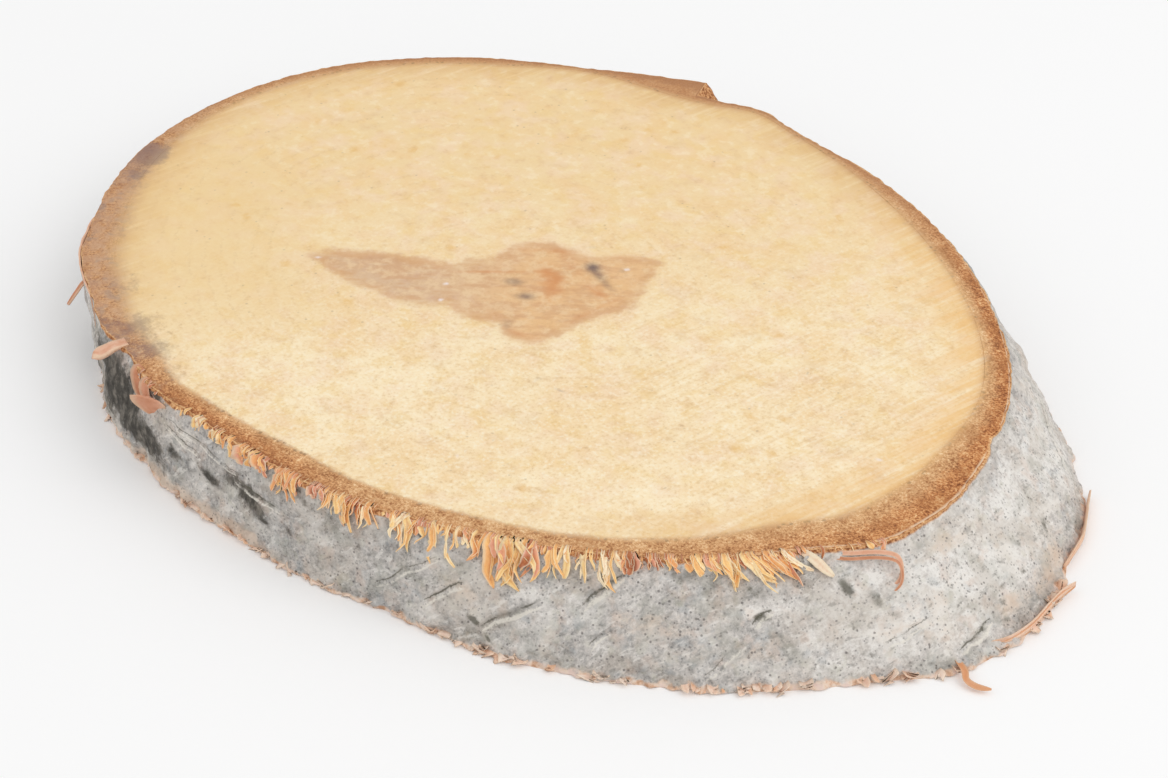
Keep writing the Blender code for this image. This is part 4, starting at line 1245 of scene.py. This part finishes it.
    share = s.attribute("ring_share")
    dark_ring = s.attribute("dark_ring")
    coarse = s.noise(1.3, 4.0, 0.65)
    crumb = s.noise(0.24, 3.0, 0.8)
    back = s.attribute("back_ring")
    crumbs = s.sum_of((crumb, 0.62), (coarse, 0.38))
    ring = s.ramp(crumbs, [
        (0.38, 156, 102, 62), (0.45, 196, 143, 96), (0.50, 216, 166, 116),
        (0.56, 232, 188, 138), (0.64, 248, 218, 176)])
    burnt = s.ramp(crumbs, [
        (0.38, 104, 54, 26), (0.45, 156, 90, 48), (0.50, 194, 122, 70),
        (0.56, 220, 156, 98), (0.64, 246, 206, 154)])
    uneven = s.total(share, s.centred(coarse, 1.2))
    ring = s.over(ring, burnt, 0.85, right, s.step(uneven, 0.22, 0.60))
    ring = s.over(ring, burnt, 0.75, dark_ring, s.step(uneven, 0.0, 0.6))
    ring = s.over(ring, burnt, 0.50, s.step(uneven, 0.60, 1.0))
    ring = s.over(ring, (194, 140, 96), 0.65, back)
    ring = s.patches(ring, [(3.5, 0.50, 0.64, 0.34, 172, 114, 68)])
    ring = s.over(ring, (172, 120, 82), 0.70, back, s.step(uneven, 0.40, 0.8))
    ring = s.over(ring, (120, 62, 36), 0.60, dark_ring, s.step(uneven, 0.60, 1.0))
    ring = s.over(ring, (194, 152, 122), 0.75, left, s.step(coarse, 0.30, 0.60))
    ring = s.over(ring, (158, 140, 130), 0.50, left, s.step(s.noise(2.2, 3.0), 0.52, 0.68))
    ring = s.over(ring, (132, 108, 106), 0.65, s.step(spread, 0.4, 1.2))
    dashes = s.product(s.dots(0.6, 0.50, 0.20, 0.40, 0.55), s.math("SUBTRACT", 1.0, s.product(left, 0.85)))
    hairy = s.total(from_bark, s.centred(crumb, 1.0))
    at_bark = s.product(s.step(hairy, -0.35, 0.0), s.step(hairy, 0.55, 0.15))
    ring = s.over(ring, (126, 92, 60), 0.65, at_bark, dashes)
    peeled = s.product(right, s.step(share, 0.90, 0.96), s.step(s.noise(3.0, 2.0), 0.32, 0.46))
    ring = s.over(ring, (236, 208, 176), 0.85, peeled)

    edge = s.total(from_bark, s.centred(crumb, 1.2), s.centred(coarse, 1.2))
    softened = s.math("DIVIDE", edge, s.total(1.0, s.product(left, 2.6), s.product(away_from_front, 1.8)))
    on_ring = s.step(softened, -0.42, 0.30)
    colour = s.mix(on_ring, wood, ring)

    height = s.sum_of((streak, 0.45), (grain, 0.30), (s.product(on_ring, crumb), 1.6))
    return s.finish(colour, height, 0.09 * MM, 0.5)


def grey_bark_material():
    """Grey birch bark: mottled greys, black specks, cracks with painted shade and a painted highlight on their
    lips, dark and rosy patches.
    """
    s = Shading("grey_birch_bark", 0.82, 0.15)
    level = s.turned((0, LEAN, 0), (1.0, 1.0, 1.5))
    level_fine = s.turned((0, LEAN, 0), (1.0, 1.0, 2.6))
    upright = s.turned((0, 0, 0), (1.0, 1.0, 0.16))

    broad = s.noise(8.0, 3.0, 0.6, level)
    mottle = s.noise(2.3, 4.0, 0.65, level)
    grain = s.noise(0.9, 4.0, 0.7)
    fine = s.noise(0.34, 3.0, 0.7)
    dashes = s.noise(1.6, 3.0, 0.6, level_fine)

    # The pale share holds the bark's own paler patches and painted light on the right-hand side of the wall
    grey = s.sum_of((broad, 0.16), (mottle, 0.24), (grain, 0.32), (fine, 0.28), (s.attribute("pale"), 0.095))
    bark = s.ramp(grey, [
        (0.39, 126, 124, 121), (0.455, 160, 156, 152), (0.51, 186, 181, 176),
        (0.57, 208, 202, 196), (0.65, 232, 228, 222)])
    bark = s.patches(bark, [
        (1.9, 0.52, 0.68, 0.32, 212, 186, 168), (1.7, 0.54, 0.70, 0.28, 172, 180, 184),
        (1.5, 0.56, 0.70, 0.28, 178, 176, 152), (6.0, 0.50, 0.70, 0.30, 208, 192, 172),
        (4.5, 0.50, 0.64, 0.34, 176, 162, 146), (3.3, 0.52, 0.66, 0.30, 150, 150, 136),
        (3.0, 0.52, 0.66, 0.34, 226, 222, 216)])
    bark = s.over(bark, (232, 227, 220), 0.50, s.step(dashes, 0.56, 0.68))
    bark = s.over(bark, (128, 125, 119), 0.45, s.step(dashes, 0.42, 0.30))
    raised = s.step(s.attribute("lenticel"), 0.3, 1.0)
    bark = s.over(bark, (222, 212, 200), 0.22, raised, s.step(grain, 0.35, 0.6))

    rosy = s.total(s.attribute("blush"), s.centred(mottle, 1.6))
    bark = s.over(bark, (216, 192, 170), 0.60, s.step(rosy, 0.25, 0.95))

    dots = s.product(s.dots(0.62, 0.25, 0.12, 0.24, 0.30), s.step(s.noise(5.0, 2.0), 0.34, 0.52))
    bark = s.over(bark, (88, 84, 83), 0.60, dots)
    bark = s.over(bark, (98, 94, 91), 0.45, s.dots(0.38, 0.32, 0.15, 0.40, 0.46))

    shade = s.noise(1.8, 4.0, 0.7)
    streaks = s.noise(0.8, 4.0, 0.65, upright)
    charred = s.total(s.attribute("charcoal"), s.centred(shade, 1.7), s.centred(grain, 1.0))
    soot = s.ramp(s.sum_of((streaks, 0.5), (grain, 0.5)), [
        (0.36, 44, 41, 36), (0.50, 74, 70, 64), (0.66, 134, 127, 117)])
    bark = s.over(bark, soot, 0.95, s.step(charred, 0.15, 0.85))
    # Dark spots of the bark, with painted shade in the hole at the pocket flap
    spots_and_shade = s.total(s.attribute("dark_spot_and_shade"), s.centred(grain, 1.1))
    bark = s.over(bark, (84, 82, 70), 0.80, s.step(spots_and_shade, 0.30, 0.85))

    crack = s.total(s.attribute("off_furrow"), s.centred(fine, 0.35))
    strength = s.attribute("furrow_strength")
    beside = s.math("ABSOLUTE", crack)
    # Dark halo along each crack: partly the bark's own dark crack, partly painted shade round the groove
    halo = s.math("SUBTRACT", s.product(strength, 0.60), beside)
    bark = s.over(bark, (126, 122, 112), 0.40, s.step(halo, 0.0, 0.60))
    # Painted highlight on the raised lip below each crack
    off_lip = s.math("ABSOLUTE", s.math("SUBTRACT", crack, LIP_OFFSET))
    lip = s.math("SUBTRACT", s.product(strength, 0.16), off_lip)
    bark = s.over(bark, (232, 226, 214), 0.75, s.step(lip, -0.10, 0.08), s.step(grain, 0.34, 0.50))
    # Dark core of each crack: partly the bark's own dark, partly painted shade in the groove
    core = s.math("SUBTRACT", s.product(strength, 0.12), beside)
    bark = s.over(bark, (92, 89, 76), 0.78, s.step(core, -0.04, 0.05), s.step(mottle, 0.36, 0.50))

    depth = s.attribute("depth")
    torn_noise = s.noise(2.4, 4.0, 0.6)
    foot = s.total(depth, s.centred(torn_noise, 0.20))
    torn = s.ramp(s.noise(1.4, 4.0, 0.65), [
        (0.36, 190, 140, 104), (0.44, 226, 186, 156), (0.52, 236, 212, 192),
        (0.62, 232, 206, 194)])
    bark = s.over(bark, torn, 0.85, s.step(foot, 0.935, 0.97))
    frayed = s.attribute("frayed")
    rim = s.total(depth, s.product(s.centred(torn_noise, 0.10), frayed), s.product(frayed, -0.045))
    rind = s.ramp(fine, [(0.38, 136, 84, 52), (0.50, 190, 132, 86), (0.64, 226, 176, 126)])
    bark = s.mix(s.step(rim, 0.02, 0.0), bark, rind)

    height = s.sum_of((mottle, 0.6), (grain, 0.6), (fine, 0.25), (dots, -0.5))
    return s.finish(bark, height, 0.14 * MM, 0.6)


# Colours of torn inner bark by tone from 0 to 1: hanging fibres, thicker peeled pieces, torn lower edge
FIBRE_TONES = [
    (0.0, 255, 240, 208), (0.25, 255, 220, 154), (0.45, 250, 194, 126),
    (0.62, 242, 174, 118), (0.80, 234, 168, 142), (1.0, 168, 98, 62)]
PEEL_TONES = [
    (0.0, 240, 224, 196), (0.25, 240, 206, 180), (0.50, 226, 174, 146),
    (0.75, 208, 148, 118), (1.0, 176, 112, 80)]
FOOT_TONES = [
    (0.0, 240, 220, 204), (0.25, 238, 206, 184), (0.50, 230, 178, 140),
    (0.75, 218, 154, 110), (1.0, 170, 108, 74)]


def torn_bark_material(name, tones, contrast=1.0):
    """Torn inner bark: lighter at the edges of each piece and darker along its middle, with painted shade at its
    root.
    """
    s = Shading(name, 0.75, 0.2)
    streaks = s.noise(0.3, 3.0, 0.6, s.turned((0, 0, 0), (1.0, 1.0, 0.3)))
    across = s.attribute("across")
    tone = s.total(s.attribute("tone"), s.centred(s.noise(1.0, 3.0), 0.5))
    fibre = s.ramp(tone, tones)
    fibre = s.over(fibre, (212, 144, 90), 0.34 * contrast, s.step(streaks, 0.48, 0.66))
    fibre = s.over(fibre, (202, 126, 82), 0.30 * contrast, s.step(across, 0.45, 0.0))
    fibre = s.over(fibre, (255, 238, 206), 0.60 * contrast, s.step(across, 0.50, 1.0))
    # Painted shade at the root of each piece, where it leaves the bark
    fibre = s.over(fibre, (184, 120, 76), 0.34 * contrast, s.step(s.attribute("along"), 0.35, 0.05))
    return s.finish(fibre, streaks, 0.08 * MM, 0.6)


def floor_material():
    s = Shading("pale_floor", 0.9, 0.0)
    colour = s.mix(s.product(s.noise(900, 2.0), 0.02), (0.98, 0.98, 0.98, 1.0), (0.94, 0.94, 0.94, 1.0))
    return s.finish(colour, s.noise(60, 2.0), 0.02 * MM, 0.1)


FLOOR_RADIUS = 6.0
FLOOR_SIDES = 64


def make_floor():
    mesh = bpy.data.meshes.new("floor")
    corners = level_points(columns_of(FLOOR_SIDES), FLOOR_RADIUS)
    mesh.from_pydata(corners.tolist(), [], [list(range(len(corners)))])
    mesh.materials.append(floor_material())
    add_object("floor", mesh)


# Round lamps that face the slice: name, place and width in metres, power
LAMPS = [("key", (0.75, 0.2, 0.8), 1.2, 3.8), ("fill", (-0.6, -0.8, 0.7), 1.1, 1.0)]
SURROUNDINGS = 0.77


def make_studio():
    """Even white surroundings, a broad key light from the back right and a weak fill from the front left."""
    world = bpy.data.worlds.new("studio")
    bpy.context.scene.world = world
    world.use_nodes = True
    background = world.node_tree.nodes["Background"]
    background.inputs["Color"].default_value = (1.0, 1.0, 1.0, 1.0)
    background.inputs["Strength"].default_value = SURROUNDINGS
    for name, spot, width, power in LAMPS:
        light = bpy.data.lights.new(name, "AREA")
        light.shape = "DISK"
        light.size = width
        light.energy = power
        lamp = add_object(name, light)
        lamp.location = spot
        lamp.rotation_euler = (-Vector(spot)).to_track_quat("-Z", "Y").to_euler()
    bpy.context.scene.view_settings.view_transform = "Standard"
    bpy.context.scene.view_settings.look = "None"


# The camera looks down at the slice from its front right; its offset is from the middle of the upper face
CAMERA_OFFSET = Vector((177.73, -172.42, 158.49)) * MM
CAMERA_TILT = math.radians(55.0)
CAMERA_TURN = math.radians(44.74)
CAMERA_LENS = 85.0
CAMERA_SENSOR = 36.0
NEAREST_SEEN = 0.01


def make_camera():
    camera = bpy.data.cameras.new("camera")
    camera.lens = CAMERA_LENS
    camera.sensor_width = CAMERA_SENSOR
    camera.clip_start = NEAREST_SEEN
    view = add_object("camera", camera)
    view.location = MIDDLE + UP * THICKNESS + CAMERA_OFFSET
    view.rotation_euler = (CAMERA_TILT, 0.0, CAMERA_TURN)
    bpy.context.scene.camera = view


make_camera()
FACE_MATERIAL = sawn_face_material()
BARK_MATERIAL = grey_bark_material()
FIBRE_MATERIAL = torn_bark_material("torn_fibres", FIBRE_TONES)
PEEL_MATERIAL = torn_bark_material("peeled_inner_bark", PEEL_TONES, 0.6)
FOOT_MATERIAL = torn_bark_material("torn_foot", FOOT_TONES, 0.4)

make_wood(FACE_MATERIAL)
make_bark(FACE_MATERIAL, BARK_MATERIAL)
make_sheet(PEEL_MATERIAL, BARK_MATERIAL)
make_bark_fold(BARK_MATERIAL)
make_flakes(FIBRE_MATERIAL)
make_fringe(FIBRE_MATERIAL)
make_teeth(FOOT_MATERIAL)
peeled = [rim_strip(*SPLINTER), rim_strip(*TONGUE), pocket_flap()]
peeled += [pocket_strand(*values) for values in POCKET_STRANDS]
blades_object("peeled_tongues", peeled, PEEL_MATERIAL)
blades_object("rim_curl", [rim_curl(*values) for values in RIM_CURL_PARTS], PEEL_MATERIAL)
blades_object("foot_curl", [foot_curl()], FOOT_MATERIAL)
blades_object("foot_strip", [foot_strip(*values) for values in FOOT_STRIPS], FOOT_MATERIAL)
blades_object("peel_strip", [rim_strip(*PEEL_STRIP), rim_strip(*CREAM_FLAKE)], PEEL_MATERIAL)
make_floor()
make_studio()
